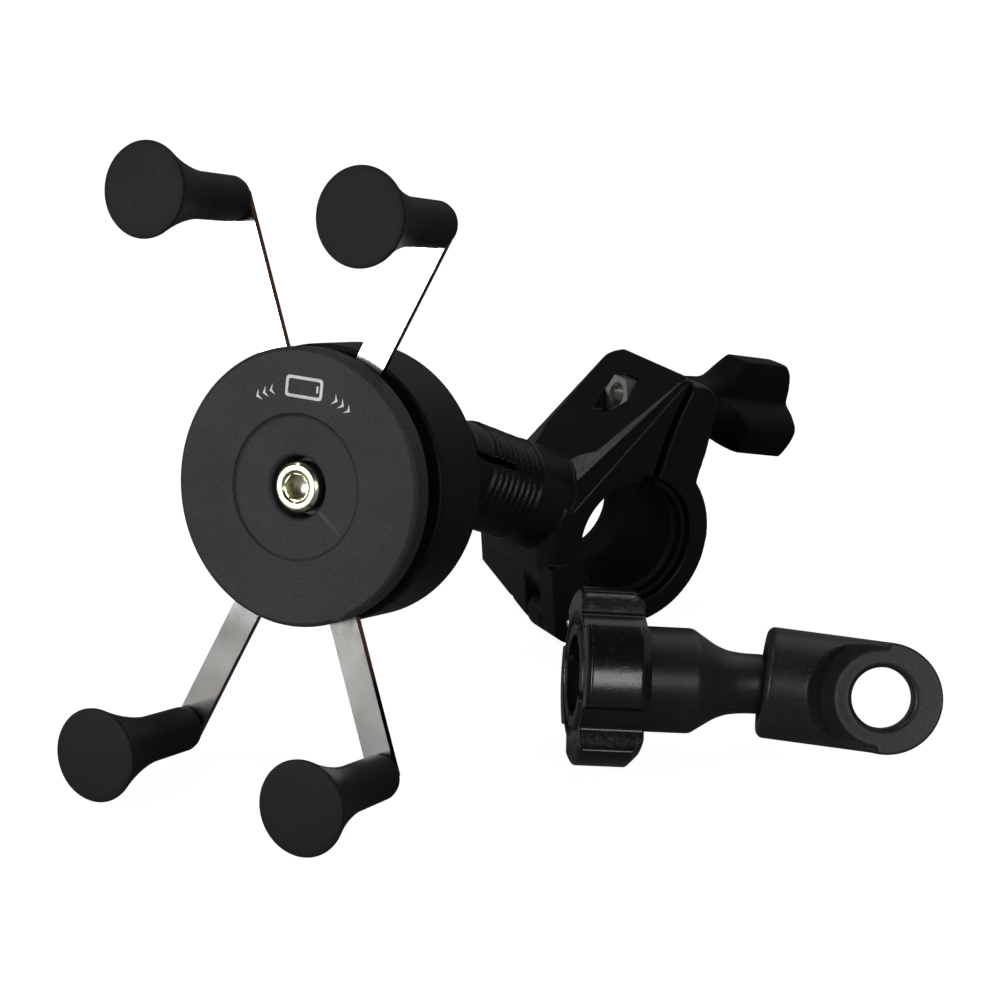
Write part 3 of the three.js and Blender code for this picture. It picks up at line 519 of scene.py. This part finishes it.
def prism(outline, z0, z1):
    bm = bmesh.new()
    low = [bm.verts.new((x, y, z0)) for x, y in outline]
    face = bm.faces.new(low)
    raised = bmesh.ops.extrude_face_region(bm, geom=[face])
    tops = [v for v in raised["geom"] if isinstance(v, bmesh.types.BMVert)]
    bmesh.ops.translate(bm, verts=tops, vec=(0, 0, z1 - z0))
    return finished(bm, "prism")


def ball(radius, centre=(0, 0, 0)):
    count = 40
    angles = [math.pi * i / count for i in range(count + 1)]
    arc = [(radius * math.sin(angle), -radius * math.cos(angle)) for angle in angles]
    arc[0] = (0, -radius)
    arc[-1] = (0, radius)
    return placed(turned(arc, 72), Matrix.Translation(centre))


def placed(mesh, matrix):
    mesh.transform(matrix)
    return mesh


def block(x0, x1, y0, y1, z0, z1):
    return prism([(x0, y0), (x1, y0), (x1, y1), (x0, y1)], z0, z1)


TO_X = Matrix.Rotation(math.pi / 2, 4, "Y")


# %% Joining, cutting and moulding
def through(mesh, set_up):
    """The mesh that comes out of modifiers which set_up adds to a bench object."""
    bench = bpy.data.objects.new("bench", mesh)
    bpy.context.scene.collection.objects.link(bench)
    tools = set_up(bench) or []
    bpy.context.view_layer.update()
    result = bpy.data.meshes.new_from_object(bench.evaluated_get(bpy.context.evaluated_depsgraph_get()))
    for used in [bench, *tools]:
        bpy.data.objects.remove(used)
    return result


def joined(mesh, *others, how="UNION"):
    def set_up(bench):
        tools = []
        for other in others:
            tool = bpy.data.objects.new("tool", other)
            bpy.context.scene.collection.objects.link(tool)
            step = bench.modifiers.new("step", "BOOLEAN")
            step.operation = how
            step.solver = "MANIFOLD"
            step.object = tool
            tools.append(tool)
        return tools
    return through(mesh, set_up)


def cut(mesh, *others):
    return joined(mesh, *others, how="DIFFERENCE")


def common(mesh, *others):
    return joined(mesh, *others, how="INTERSECT")


def moulded(mesh, voxel, rounds, matrix):
    """A fine even skin over a cut solid, with its corners relaxed, carried to its place."""
    def set_up(bench):
        skin = bench.modifiers.new("skin", "REMESH")
        skin.mode = "VOXEL"
        skin.voxel_size = voxel
        relax = bench.modifiers.new("relax", "SMOOTH")
        relax.factor = 0.5
        relax.iterations = rounds
    return placed(through(mesh, set_up), matrix)


def crisp(piece):
    """Keeps flats flat between soft corners."""
    piece.data.set_sharp_from_angle(angle=math.radians(34))
    weigh = piece.modifiers.new("flats", "WEIGHTED_NORMAL")
    weigh.keep_sharp = True
    return piece


# %% [markdown]
# ## The holder's head
# The disc a phone leans on is a turned moulding with a shallow dish in the middle and a
# counterbore for the bolt. The housing behind it is a cup that hides the spring. Both are swept
# profiles with softened corners, so the rim catches one thin line of light.

# %% Disc and housing
DISC_R = 27.2
DISC_T = 4.5
DISH_R = 14.07
DISH_DEPTH = 0.9
COUNTERBORE_R = 6.1
BOLT_CLEAR_R = 3.3
BOSS_R = 8.5


def front_disc():
    outline = [
        (BOLT_CLEAR_R, -8.6), (BOSS_R, -8.6), (BOSS_R, -DISC_T), (DISC_R, -DISC_T), (DISC_R, -0.75),
        (DISC_R - 0.75, 0), (DISH_R + 0.25, 0), (DISH_R, -DISH_DEPTH * 0.55),
        (DISH_R - 0.5, -DISH_DEPTH * 0.72),
        (COUNTERBORE_R + 0.5, -DISH_DEPTH), (COUNTERBORE_R, -DISH_DEPTH - 0.5), (COUNTERBORE_R, -7),
        (BOLT_CLEAR_R, -7),
    ]
    return placed(turned(rounded(outline, 0.28, 3, loop=True), 192, loop=True), HEAD)


disc = crisp(put(front_disc(), "disc", "head", DISC_FACE))
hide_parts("front_disc")


def rear_housing():
    radius, back, front, wall = 27.6, -25.0, -8.9, 2.2
    outline = [
        (BOLT_CLEAR_R, front), (radius - 0.5, front), (radius, front - 0.5), (radius, back + 0.9),
        (radius - 0.9, back), (radius - wall, back), (radius - wall, front - wall),
        (BOLT_CLEAR_R, front - wall),
    ]
    return placed(turned(rounded(outline, 0.35, 4, loop=True), 192, loop=True), HEAD)


housing = crisp(put(rear_housing(), "housing", "head", HOUSING))
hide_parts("rear_housing")
print("disc", len(disc.data.polygons), "faces, housing", len(housing.data.polygons))

# %% [markdown]
# A small white print sits near the top of the disc: a plain outline of a phone between two
# arrowheads that say how it may be turned. It is a few hundredths of a millimetre of ink, so it is
# a thin raised shape of its own.

# %% Printed mark
INK = 0.04


def printed_mark():
    radius = 19.4
    bm = bmesh.new()

    def stamp(outline, hole=None):
        ink = prism(outline, 0.0, INK)
        if hole:
            ink = cut(ink, prism(hole, -1, 1))
        bm.from_mesh(ink)

    def pill(half_x, half_y, corner):
        corners = [(-half_x, -half_y), (half_x, -half_y), (half_x, half_y), (-half_x, half_y)]
        return [(p.x, radius + p.y) for p in rounded(corners, corner, 5, loop=True)]

    stamp(pill(4.2, 2.1, 0.9), pill(3.6, 1.5, 0.5))
    stamp([(x + 3.0, y) for x, y in pill(0.22, 0.7, 0.2)])
    for side in (-1, 1):
        for k in range(3):
            lean = -side * (0.38 + 0.085 * k)
            spin = Matrix.Rotation(lean, 2)
            tip, back, half = 0.62, 0.5, 1.15
            arrow = [(side * tip, 0), (-side * back, half), (-side * back + side * 0.5, 0),
                     (-side * back, -half)]
            stamp([tuple(spin @ Vector((x, y + radius))) for x, y in arrow])
    return placed(finished(bm, "printed_mark"), HEAD @ Matrix.Translation((0, 0, 0.002)))


mark = put(printed_mark(), "printed_mark", "head", PRINT, smooth=False)
print("print", len(mark.data.polygons), "faces")

# %% [markdown]
# The bolt is a socket head cap screw. Its rim is turned to a shallow chamfer, and the hexagon has a
# drilled cone at the bottom.

# %% Centre bolt and its hardware
def centre_bolt():
    head = rounded([(0, -18), (2.9, -18), (2.9, -5.6), (5, -5.6), (5, -0.95), (4.35, -0.3),
                    (3.15, -0.3), (2.9, -0.75), (0, -0.75)], 0.22, 4)
    body = cut(turned(head, 128), prism(hexagon(5), -3.4, 1))
    cone = turned([(0, -4.7), (2.35, -3.5), (2.35, -3.3), (0, -3.3)], 64)
    return placed(cut(body, cone), HEAD)


bolt = crisp(put(centre_bolt(), "cap_bolt", "head", ZINC))
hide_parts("centre_bolt")


def dress(node, material, bevel=0.0):
    """A frame node whose shape is right keeps it, and gets its finish, and a fine edge where a bevel width is
    given.
    """
    piece = frame["nodes"][node]
    piece.data.materials.clear()
    piece.data.materials.append(material)
    piece.data.shade_smooth()
    piece.data.set_sharp_from_angle(angle=math.radians(30))
    if bevel:
        edge = piece.modifiers.new("edge", "BEVEL")
        edge.width = bevel * MM
        edge.segments = 2
        edge.limit_method = "ANGLE"
        edge.angle_limit = math.radians(40)
        edge.use_clamp_overlap = True
    return piece


# The washer wears the darkened zinc: painted shade in the counterbore.
dress("bolt_washer", SHADE_DARK_ZINC, 0.12)
dress("lock_nut", ZINC, 0.12)
dress("torsion_spring", STEEL)
for name, material in STRIP.items():
    dress(name, material, 0.12)
for name in ("clamp_nut", "knob_washer"):
    dress(name, STEEL, 0.15)
dress("ball_seat", SEAT)
dress("clamp_screw", STEEL)
print("bolt and hardware dressed")

# %% [markdown]
# ## Rubber caps
# Four flared caps push on to the tangs at the strips' ends. A cap is a short stem that swells like
# a trumpet to a wide, slightly domed pad with a crisp lip. Here the flare is a power curve.

# %% Caps
ARM_REACH = 58.05
ARM_Z = -5.65
CAP_SPLAY = math.radians(1.6)
CAP_FACE_Z = 25.2
CAP_FACE_R = 9.12
CAP_STEM_R = 4.5


def rubber_cap(lean, end):
    low = ARM_Z + 1.05
    flare = low + 12
    top = CAP_FACE_Z - 1.0
    side = [(0, low), (CAP_STEM_R - 0.9, low), (CAP_STEM_R - 0.25, low + 0.35), (CAP_STEM_R, low + 1.2)]
    count = 14
    for i in range(count + 1):
        t = i / count
        radius = CAP_STEM_R + 0.1 + (CAP_FACE_R - CAP_STEM_R - 0.12) * t ** 1.6
        side.append((radius, flare + (top - flare) * t))
    side += [(CAP_FACE_R + 0.02, CAP_FACE_Z - 0.75), (CAP_FACE_R - 0.12, CAP_FACE_Z - 0.45),
             (CAP_FACE_R - 0.5, CAP_FACE_Z - 0.27)]
    dome = 8
    for i in range(1, dome + 1):
        share = 1 - i / dome
        side.append(((CAP_FACE_R - 0.5) * share, CAP_FACE_Z - 0.27 * share ** 2))
    body = cut(turned(side, 112), block(-2.9, 2.9, -1.05, 1.05, low - 1, 12.3))
    tip = Matrix.Translation((0, ARM_REACH, ARM_Z)) @ Matrix.Rotation(-CAP_SPLAY, 4, "X") \
        @ Matrix.Translation((0, 0, -ARM_Z))
    return placed(body, HEAD @ Matrix.Rotation(lean + (math.pi if end < 0 else 0), 4, "Z") @ tip)


CAPS = {"cap_top_left": ("arm_a", 1, 1), "cap_bottom_right": ("arm_a", 1, -1),
        "cap_top_right": ("arm_b", -1, 1), "cap_bottom_left": ("arm_b", -1, -1)}
for name, (body, sign, end) in CAPS.items():
    pad = name.replace("cap", "pad")
    cap = crisp(put(rubber_cap(sign * ARM_LEAN, end), pad, body, RUBBER))
    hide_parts(name)
print("four caps")

# %% [markdown]
# ## Ball stud
# The stud's flange closes the back of the housing, and its horn narrows to a neck and a ball.

# %% Ball stud
BALL_SETBACK = 62
BALL_R = 7.5
STUD_R = 4.2


def ball_stud():
    back = -25.0
    side = rounded([(0, back + 3), (24.6, back + 3), (24.6, back + 0.4), (15, back - 1.2), (12.5, back - 3),
                    (8, back - 10), (5.6, back - 14), (STUD_R, back - 18),
                    (STUD_R, -BALL_SETBACK + 6.3)], 1.2, 5)
    first = math.asin(STUD_R / BALL_R)
    count = 24
    for i in range(count + 1):
        angle = first + (math.pi - first) * i / count
        radius = 0 if i == count else BALL_R * math.sin(angle)
        side.append((radius, -BALL_SETBACK + BALL_R * math.cos(angle)))
    return placed(turned(side, 128), HEAD)


stud = crisp(put(ball_stud(), "stud", "ball_stud", SATIN))
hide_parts("ball_stud")
print("stud", len(stud.data.polygons), "faces")

# %% [markdown]
# ## The handlebar clamp
# Two moulded halves close round the bar. The front half carries the threaded, slit socket for the
# ball and a slanted lug whose side edges are planed off in two long facets. The rear half is a
# plain shell with a lug for the knob screw. They are cut from turned and extruded solids, then
# moulded, so that the ring, lug and socket flow into each other like one casting.

# %% Clamp dimensions
RING_R = 19.8
RING_FRONT_R = 22.5
RING_EDGE_R = 20.8
RING_BORE_R = 14.9
HALF_W = 15.8
HINGE = Vector((-12, -19.6))
HINGE_TURN = math.atan2(HINGE.y, HINGE.x)
HINGE_R = 4.9
HINGE_Z = (-2, 16.4)
WEB_TURN = math.radians(38)
SCREW_Y = 29.8
SPLIT_LOW = Vector((1.2, 17.2))
SPLIT_HIGH = Vector((9.7, 60))
SPLIT_GAP = 1.7
LUG_TOP_Y = {"front": 38.6, "rear": 37.2}
LUG_CORNER_R = {"front": (6, 3), "rear": (9, 2.5)}
THREAD_Z = (2.4, 16.8)
THREAD_R = 11.3
THREAD_ROOT_R = 10.6
COLLAR_R = 11.4
PITCH = 1.8
POCKET_R = 8.7
SLIT_HALF = 0.75
SLIT_END = 9.4
NUT_POCKET_FLATS = 8.7
SCREW_CLEAR_R = 2.8
HINGE_GAP = 0.3
print("ring", 2 * RING_R, "mm across, bore", 2 * RING_BORE_R)


# %% Threaded socket
def thread_side(start, count, crest=THREAD_R, root=THREAD_ROOT_R):
    """The side of a thread as rounded crests and roots."""
    side = []
    steps = 8
    for i in range(count * steps + 1):
        wave = 0.5 - 0.5 * math.cos(2 * math.pi * i / steps)
        side.append((root + (crest - root) * wave ** 0.7, start + i * PITCH / steps))
    return side


def threaded_socket(length):
    mouth = -3.5
    count = int((THREAD_Z[1] - THREAD_Z[0]) / PITCH)
    side = [(0, mouth), (THREAD_ROOT_R - 0.6, mouth), (THREAD_ROOT_R, mouth + 0.8)]
    side += thread_side(THREAD_Z[0], count)
    side += [(THREAD_ROOT_R, THREAD_Z[1]), (COLLAR_R, THREAD_Z[1] + 0.8), (COLLAR_R, length), (0, length)]
    body = cut(turned(side, 120), ball(POCKET_R))
    for turn in (math.pi / 4, -math.pi / 4):
        slit = block(-20, 20, -SLIT_HALF, SLIT_HALF, -20, SLIT_END)
        slit = placed(slit, Matrix.Rotation(turn, 4, "Z"))
        body = cut(body, slit)
    return body


# %% Split, lugs and hinge
def kept_side(side, clearance):
    """The side of the split that a half keeps: a gently curved line up through the lugs."""
    away = side * clearance
    across = [-math.sin(HINGE_TURN) * side * -0.3, math.cos(HINGE_TURN) * side * -0.3]
    far = HINGE * 2.6
    split = []
    steps = 10
    for i in range(steps + 1):
        t = i / steps
        bow = 0.7 * math.sin(math.pi * min(1.0, t * 2.2))
        split.append((SPLIT_LOW.x + (SPLIT_HIGH.x - SPLIT_LOW.x) * t + away - bow, SPLIT_LOW.y
                      + (SPLIT_HIGH.y - SPLIT_LOW.y) * t))
    outline = [(away * 0.4, 0), *split, (side * 90, SPLIT_HIGH.y), (side * 90, -60),
               (far.x - across[0], far.y - across[1])]
    return prism(outline, -HALF_W - 1, HALF_W + 1)


def plane_cut(top, first, second, outward):
    """A block of waste on the outer side of the plane through three points."""
    along = (first - top).normalized()
    normal = along.cross(second - top).normalized()
    if normal.dot(outward) < 0:
        normal.negate()
    turn = Matrix((along, normal.cross(along), normal)).transposed().to_4x4()
    return placed(block(-30, 38, -30, 30, 0, 30), Matrix.Translation(top) @ turn)


def side_facets(side):
    """Two long facets off the slanted face's edge, wide at the ring and narrow at the top."""
    def at(x, y, inset):
        return Vector((x, y, side * (HALF_W - inset)))
    outward = Vector((-0.4, 0.35, side))
    broad = plane_cut(at(3, 36.8, 1.4), at(-20.2, 9.6, 6.5), at(-19.4, 8.9, 3), outward)
    steep = plane_cut(at(3.4, 36.5, 0.5), at(-19.4, 8.9, 3), at(-17, 6.8, 0), outward)
    return broad, steep


def corner_round(half, side):
    """Takes the top corner off a lug, seen from the front."""
    radius = LUG_CORNER_R[half][0 if side < 0 else 1]
    y, z = LUG_TOP_Y[half] - radius, HALF_W - radius
    corner = block(-20, 30, y, y + 30, *sorted((side * z, side * (z + 30))))
    return cut(corner, placed(rod(radius, -40, 40), Matrix.Translation((0, y, side * z)) @ TO_X))


def hinge_spans(first, clearance):
    third = (HINGE_Z[1] - HINGE_Z[0]) / 3
    middle = (HINGE_Z[0] + third + clearance, HINGE_Z[1] - third - clearance)
    return [(HINGE_Z[0], middle[0]), (middle[1], HINGE_Z[1])] if first else [middle]


def hinge_rods(radius, spans):
    return [placed(rod(radius, z0, z1), Matrix.Translation((*HINGE, 0))) for z0, z1 in spans]


def hinge_web(side, z0, z1):
    """A web that carries a knuckle over to its own half of the ring."""
    on_ring = HINGE_TURN + side * WEB_TURN
    radius = (RING_FRONT_R if side < 0 else RING_R) - 0.4
    tangent = HINGE_TURN + side * (math.pi / 2 - 0.6)
    outer = HINGE + HINGE_R * Vector((math.cos(tangent), math.sin(tangent)))
    root = radius * Vector((math.cos(on_ring), math.sin(on_ring)))
    return prism([HINGE, outer, root, 0.8 * root, 0.86 * HINGE], z0, z1)


def hinge_taper():
    """The slope from the far edge of the ring out to the near knuckle."""
    out = Vector((math.cos(HINGE_TURN), math.sin(HINGE_TURN), 0))
    near = out * (HINGE.length + HINGE_R) + Vector((0, 0, 6))
    far = out * (RING_FRONT_R + 0.2) - Vector((0, 0, HALF_W))
    return plane_cut(near, far, near + Vector((-out.y, out.x, 0)), out)


def clamp_ring(first):
    if not first:
        return rod(RING_R, -HALF_W, HALF_W, 160)
    return turned([(0, -HALF_W), (RING_FRONT_R - 0.6, -HALF_W), (RING_FRONT_R, -HALF_W + 0.8),
                   (RING_FRONT_R, 10.5), (RING_FRONT_R - 0.7, 14), (RING_EDGE_R, HALF_W),
                   (0, HALF_W)], 160)


def clamp_half(side, lug, boss=None):
    first = side < 0
    body = joined(clamp_ring(first), lug)
    for end in (-1, 1):
        body = cut(body, corner_round("front" if first else "rear", end))
        if first:
            body = cut(body, *side_facets(end))
    body = common(body, kept_side(side, 0 if first else SPLIT_GAP))
    body = cut(body, *hinge_rods(HINGE_R + HINGE_GAP, hinge_spans(not first, -HINGE_GAP / 2)))
    spans = hinge_spans(first, HINGE_GAP / 2 * side)
    body = joined(body, *hinge_rods(HINGE_R, spans))
    if first:
        spans[0] = (-HALF_W, spans[0][1])
    body = joined(body, *[hinge_web(side, *span) for span in spans])
    if first:
        body = cut(body, hinge_taper())
    if boss:
        body = joined(body, boss)
    body = cut(body, rod(RING_BORE_R, -HALF_W - 1, HALF_W + 1, 160))
    return cut(body, placed(rod(1.9, -20, 20), Matrix.Translation((*HINGE, 0))))


def across_screw(mesh):
    return placed(mesh, Matrix.Translation((0, SCREW_Y, 0)) @ TO_X)


# %% Front half
TO_CLAMP = CLAMP.inverted() @ BALL
SOCKET_LENGTH = (RING_CENTRE - BALL.translation).length / MM - RING_BORE_R


def clamp_front():
    slope = [(-20.2, 9.6), (3, 36.8), (4.8, 38.2), (12, 38.6), (12, 0), (0, 0)]
    lug = prism(slope, -HALF_W, HALF_W)
    body = clamp_half(-1, lug, placed(threaded_socket(SOCKET_LENGTH), TO_CLAMP))
    body = cut(body, across_screw(prism(hexagon(NUT_POCKET_FLATS), -20, 1.6)))
    return cut(body, across_screw(rod(SCREW_CLEAR_R + 0.2, -5, 12)))


front_skin = moulded(clamp_front(), 0.26, 4, CLAMP)
front_half = put(front_skin, "clamp_front_shell", "clamp_front", SATIN)
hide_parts("clamp_front_half")
print("front half", len(front_half.data.polygons), "faces")


# %% Rear half
def clamp_rear():
    outline = rounded([(0, 0), (2, 34), (4.6, 36.9), (8, 37.3), (11, 36.6), (13.3, 34.8), (14, 32.6),
                       (14, 22), (13.2, 15.4), (13.2, 0)], 2.5, 4, loop=True)
    lug = prism(outline, -HALF_W, HALF_W)
    return cut(clamp_half(1, lug), across_screw(rod(SCREW_CLEAR_R, -5, 25)))


rear_skin = moulded(clamp_rear(), 0.3, 3, CLAMP)
rear_half = put(rear_skin, "clamp_rear_shell", "clamp_rear", SATIN)
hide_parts("clamp_rear_half")
print("rear half", len(rear_half.data.polygons), "faces")

# %% [markdown]
# ## Liners and hinge pin
# Each half holds a rubber liner with a raised lip at one rim and a step back at the other. The
# section is turned, and the liner is the sector of that ring which its half covers.

# %% Liners
LIP_R = 11


def liner(side):
    inner, outer = 12.1, 14.6
    z = HALF_W - 1.2
    section = rounded([(inner, -z + 3), (LIP_R, -z + 2), (LIP_R, -z), (outer, -z), (outer, z),
                       (inner + 1.2, z), (inner + 1.2, z - 2), (inner, z - 3)], 0.35, 4, loop=True)
    low = math.pi / 2 + 0.08 if side < 0 else HINGE_TURN + 0.1
    high = HINGE_TURN + 2 * math.pi - 0.1 if side < 0 else math.pi / 2 - 0.18
    steps = 24
    turns = [low + (high - low) * i / steps for i in range(steps + 1)]
    fan = [(0, 0)] + [(30 * math.cos(turn), 30 * math.sin(turn)) for turn in turns]
    return placed(common(turned(section, 144, loop=True), prism(fan, -20, 20)), CLAMP)


for side, node, body in ((-1, "liner_front", "clamp_front"), (1, "liner_rear", "clamp_rear")):
    sleeve = crisp(put(liner(side), node.replace("liner", "sleeve"), body, LINER))
    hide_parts(node)
dress("hinge_pin", PIN, 0.1)
print("liners and pin")


# %% [markdown]
# ## Knob
# Three flat-ended lobes, hollowed between them so that fingers get a hold, on a round neck.

# %% Knob
KNOB_LENGTH = 25.8
KNOB_R = 12.3
KNOB_VALLEY_R = 6.4
KNOB_TIP = math.radians(17)
KNOB_FRAME = CLAMP @ Matrix.Translation((15.8, SCREW_Y, 0)) @ TO_X @ Matrix.Rotation(math.pi / 2, 4, "Z")


def knob():
    def lobes(angle):
        third = 2 * math.pi / 3
        off = abs((angle + third / 2) % third - third / 2)
        if off <= KNOB_TIP:
            return KNOB_R * math.cos(KNOB_TIP) / math.cos(off)
        along = (off - KNOB_TIP) / (third / 2 - KNOB_TIP)
        return KNOB_VALLEY_R + (KNOB_R - KNOB_VALLEY_R) * (1 - along) ** 1.5

    clover = prism(polar(lobes, 180), 0, KNOB_LENGTH)
    side = rounded([(0, 0), (6, 0), (6.2, 4.6), (7.6, 8), (10, 10.6), (KNOB_R + 0.5, 13),
                    (KNOB_R + 0.5, KNOB_LENGTH - 1.6), (KNOB_R - 1.0, KNOB_LENGTH),
                    (0, KNOB_LENGTH)], 1.6, 5)
    body = joined(common(clover, turned(side, 144)), rod(6, 0, 7))
    body = cut(body, rod(2.7, -1, KNOB_LENGTH - 8))
    return moulded(body, 0.26, 4, KNOB_FRAME)


grip = put(knob(), "knob_grip", "knob", KNOB)
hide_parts("clamp_knob")
print("knob", len(grip.data.polygons), "faces")

# %% [markdown]
# ## The loose arm
# A second ball socket with its ring nut, a waisted neck and an eyelet that bolts under a mirror
# stem. The nut is the only glossy part: four broad lobes with crisp corners.

# %% Arm socket
def arm_socket():
    start = -BALL_R
    side = rounded([(0, 4), (10.5, 4), (10.5, 16.2), (9.7, 17.4), (7.4, 21), (6.4, 23.6), (6, 27), (6, 31),
                    (4.5, 33)], 1.3, 6)
    count = 16
    for i in range(1, count + 1):
        angle = math.pi * 0.72 * (1 - i / count)
        side.append((0 if i == count else 5.4 * math.sin(angle), SWIVEL_X + 5.4 * math.cos(angle)))
    threads = [(0, start), (THREAD_ROOT_R - 0.4, start), (THREAD_ROOT_R, start + 0.6)]
    threads += thread_side(start + 0.8, 5, THREAD_R - 0.1) + [(THREAD_ROOT_R, 5.6), (0, 5.6)]
    body = cut(joined(turned(threads, 120), turned(side, 120)), ball(POCKET_R, (0, 0, start + 3.5)))
    for turn in (0, math.pi / 2):
        slit = block(-20, 20, -SLIT_HALF, SLIT_HALF, -20, start + SLIT_END)
        body = cut(body, placed(slit, Matrix.Rotation(turn, 4, "Z")))
    return moulded(body, 0.24, 3, LOOSE)


socket = put(arm_socket(), "socket_arm", "loose_arm", ARM_SATIN)
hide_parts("arm_socket")
print("arm", len(socket.data.polygons), "faces")


# %% Ring nut
NUT_Z = (-7.3, 5.6)
NUT_R = 17.7
NUT_TURN = math.radians(-31)


def ring_nut():
    spread_angle, fade = math.radians(27), math.radians(8)

    def lobes(angle):
        quarter = math.pi / 2
        off = abs((angle + quarter / 2) % quarter - quarter / 2)
        drop = min(1.0, max(0.0, (off - spread_angle) / fade))
        return NUT_R - (NUT_R - 13.6) * drop ** 0.8

    z0, z1 = NUT_Z
    body = prism(polar(lobes, 240), z0, z1)
    side = [(0, z0), (NUT_R - 1.2, z0), (NUT_R + 0.2, z0 + 0.8), (NUT_R + 0.2, z1 - 2.4),
            (NUT_R - 2.2, z1), (0, z1)]
    body = common(body, turned(rounded(side, 0.5), 192))
    mouth, bore_r = 12.8, 11.5
    bore = turned([(0, z0 - 1), (mouth, z0 - 1), (mouth, z0 + 0.2), (bore_r, z0 + 1.7),
                   (bore_r, z1 + 1), (0, z1 + 1)], 144)
    return moulded(cut(body, bore), 0.22, 2, LOOSE @ Matrix.Rotation(NUT_TURN, 4, "Z"))


nut = put(ring_nut(), "nut_ring", "ring_nut", GLOSS)
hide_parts("ring_nut")
print("ring nut", len(nut.data.polygons), "faces")


# %% Eyelet
EYELET_Z = (31, 67)
EYELET_R = 11.2
TAB_T = 6.4
TAB_ROUND = 55.8
HOLE_Z = 55
HOLE_R = 6.1
ACROSS = Matrix.Rotation(math.pi / 2, 4, "X")


def eyelet():
    start, end = EYELET_Z
    barrel = turned([(0, start), (EYELET_R - 0.9, start), (EYELET_R, start + 0.9), (EYELET_R, HOLE_Z),
                     (0, HOLE_Z)], 144)
    at_hole = Matrix.Translation((0, 0, HOLE_Z)) @ ACROSS
    scoop = [(0, TAB_T / 2), (9.6, TAB_T / 2), (10.4, TAB_T / 2 + 0.5), (12.6, 5.4), (14.6, 8.6),
             (15.8, 12), (15.8, 16), (0, 16)]
    for side in (-1, 1):
        tool = turned([(r, y * side) for r, y in scoop], 144)
        clear = block(-20, 20, *sorted((side * TAB_T / 2, side * 20)), HOLE_Z, HOLE_Z + 20)
        barrel = cut(barrel, placed(tool, at_hole), clear)
    tab = common(block(-EYELET_R, EYELET_R, -TAB_T / 2, TAB_T / 2, start + 14, TAB_ROUND),
                 rod(EYELET_R, start, TAB_ROUND, 144))
    at_tip = Matrix.Translation((0, 0, TAB_ROUND)) @ ACROSS
    tip = placed(rod(end - TAB_ROUND, -TAB_T / 2, TAB_T / 2, 144), at_tip)
    nub = placed(rod(0.7, end - 1, end + 0.35, 32), Matrix.Translation((-1.2, 0, -0.07)))
    body = joined(barrel, tab, tip, nub)
    cup = turned([(0, start - 1), (8.3, start - 1), (8.1, start + 0.4), (6, SWIVEL_X - 3),
                  (6, SWIVEL_X + 1.4), (4.4, SWIVEL_X + 5.2), (0, SWIVEL_X + 6)], 96)
    hole = turned([(0, -20), (HOLE_R + 0.7, -20), (HOLE_R + 0.7, -TAB_T / 2), (HOLE_R, -TAB_T / 2 + 0.7),
                   (HOLE_R, TAB_T / 2 - 0.7), (HOLE_R + 0.7, TAB_T / 2), (HOLE_R + 0.7, 20), (0, 20)], 128)
    return moulded(cut(body, cup, placed(hole, at_hole)), 0.24, 12, EYELET)


eye = put(eyelet(), "eyelet_shell", "eyelet", ARM_SATIN)
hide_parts("eyelet")
print("eyelet", len(eye.data.polygons), "faces")
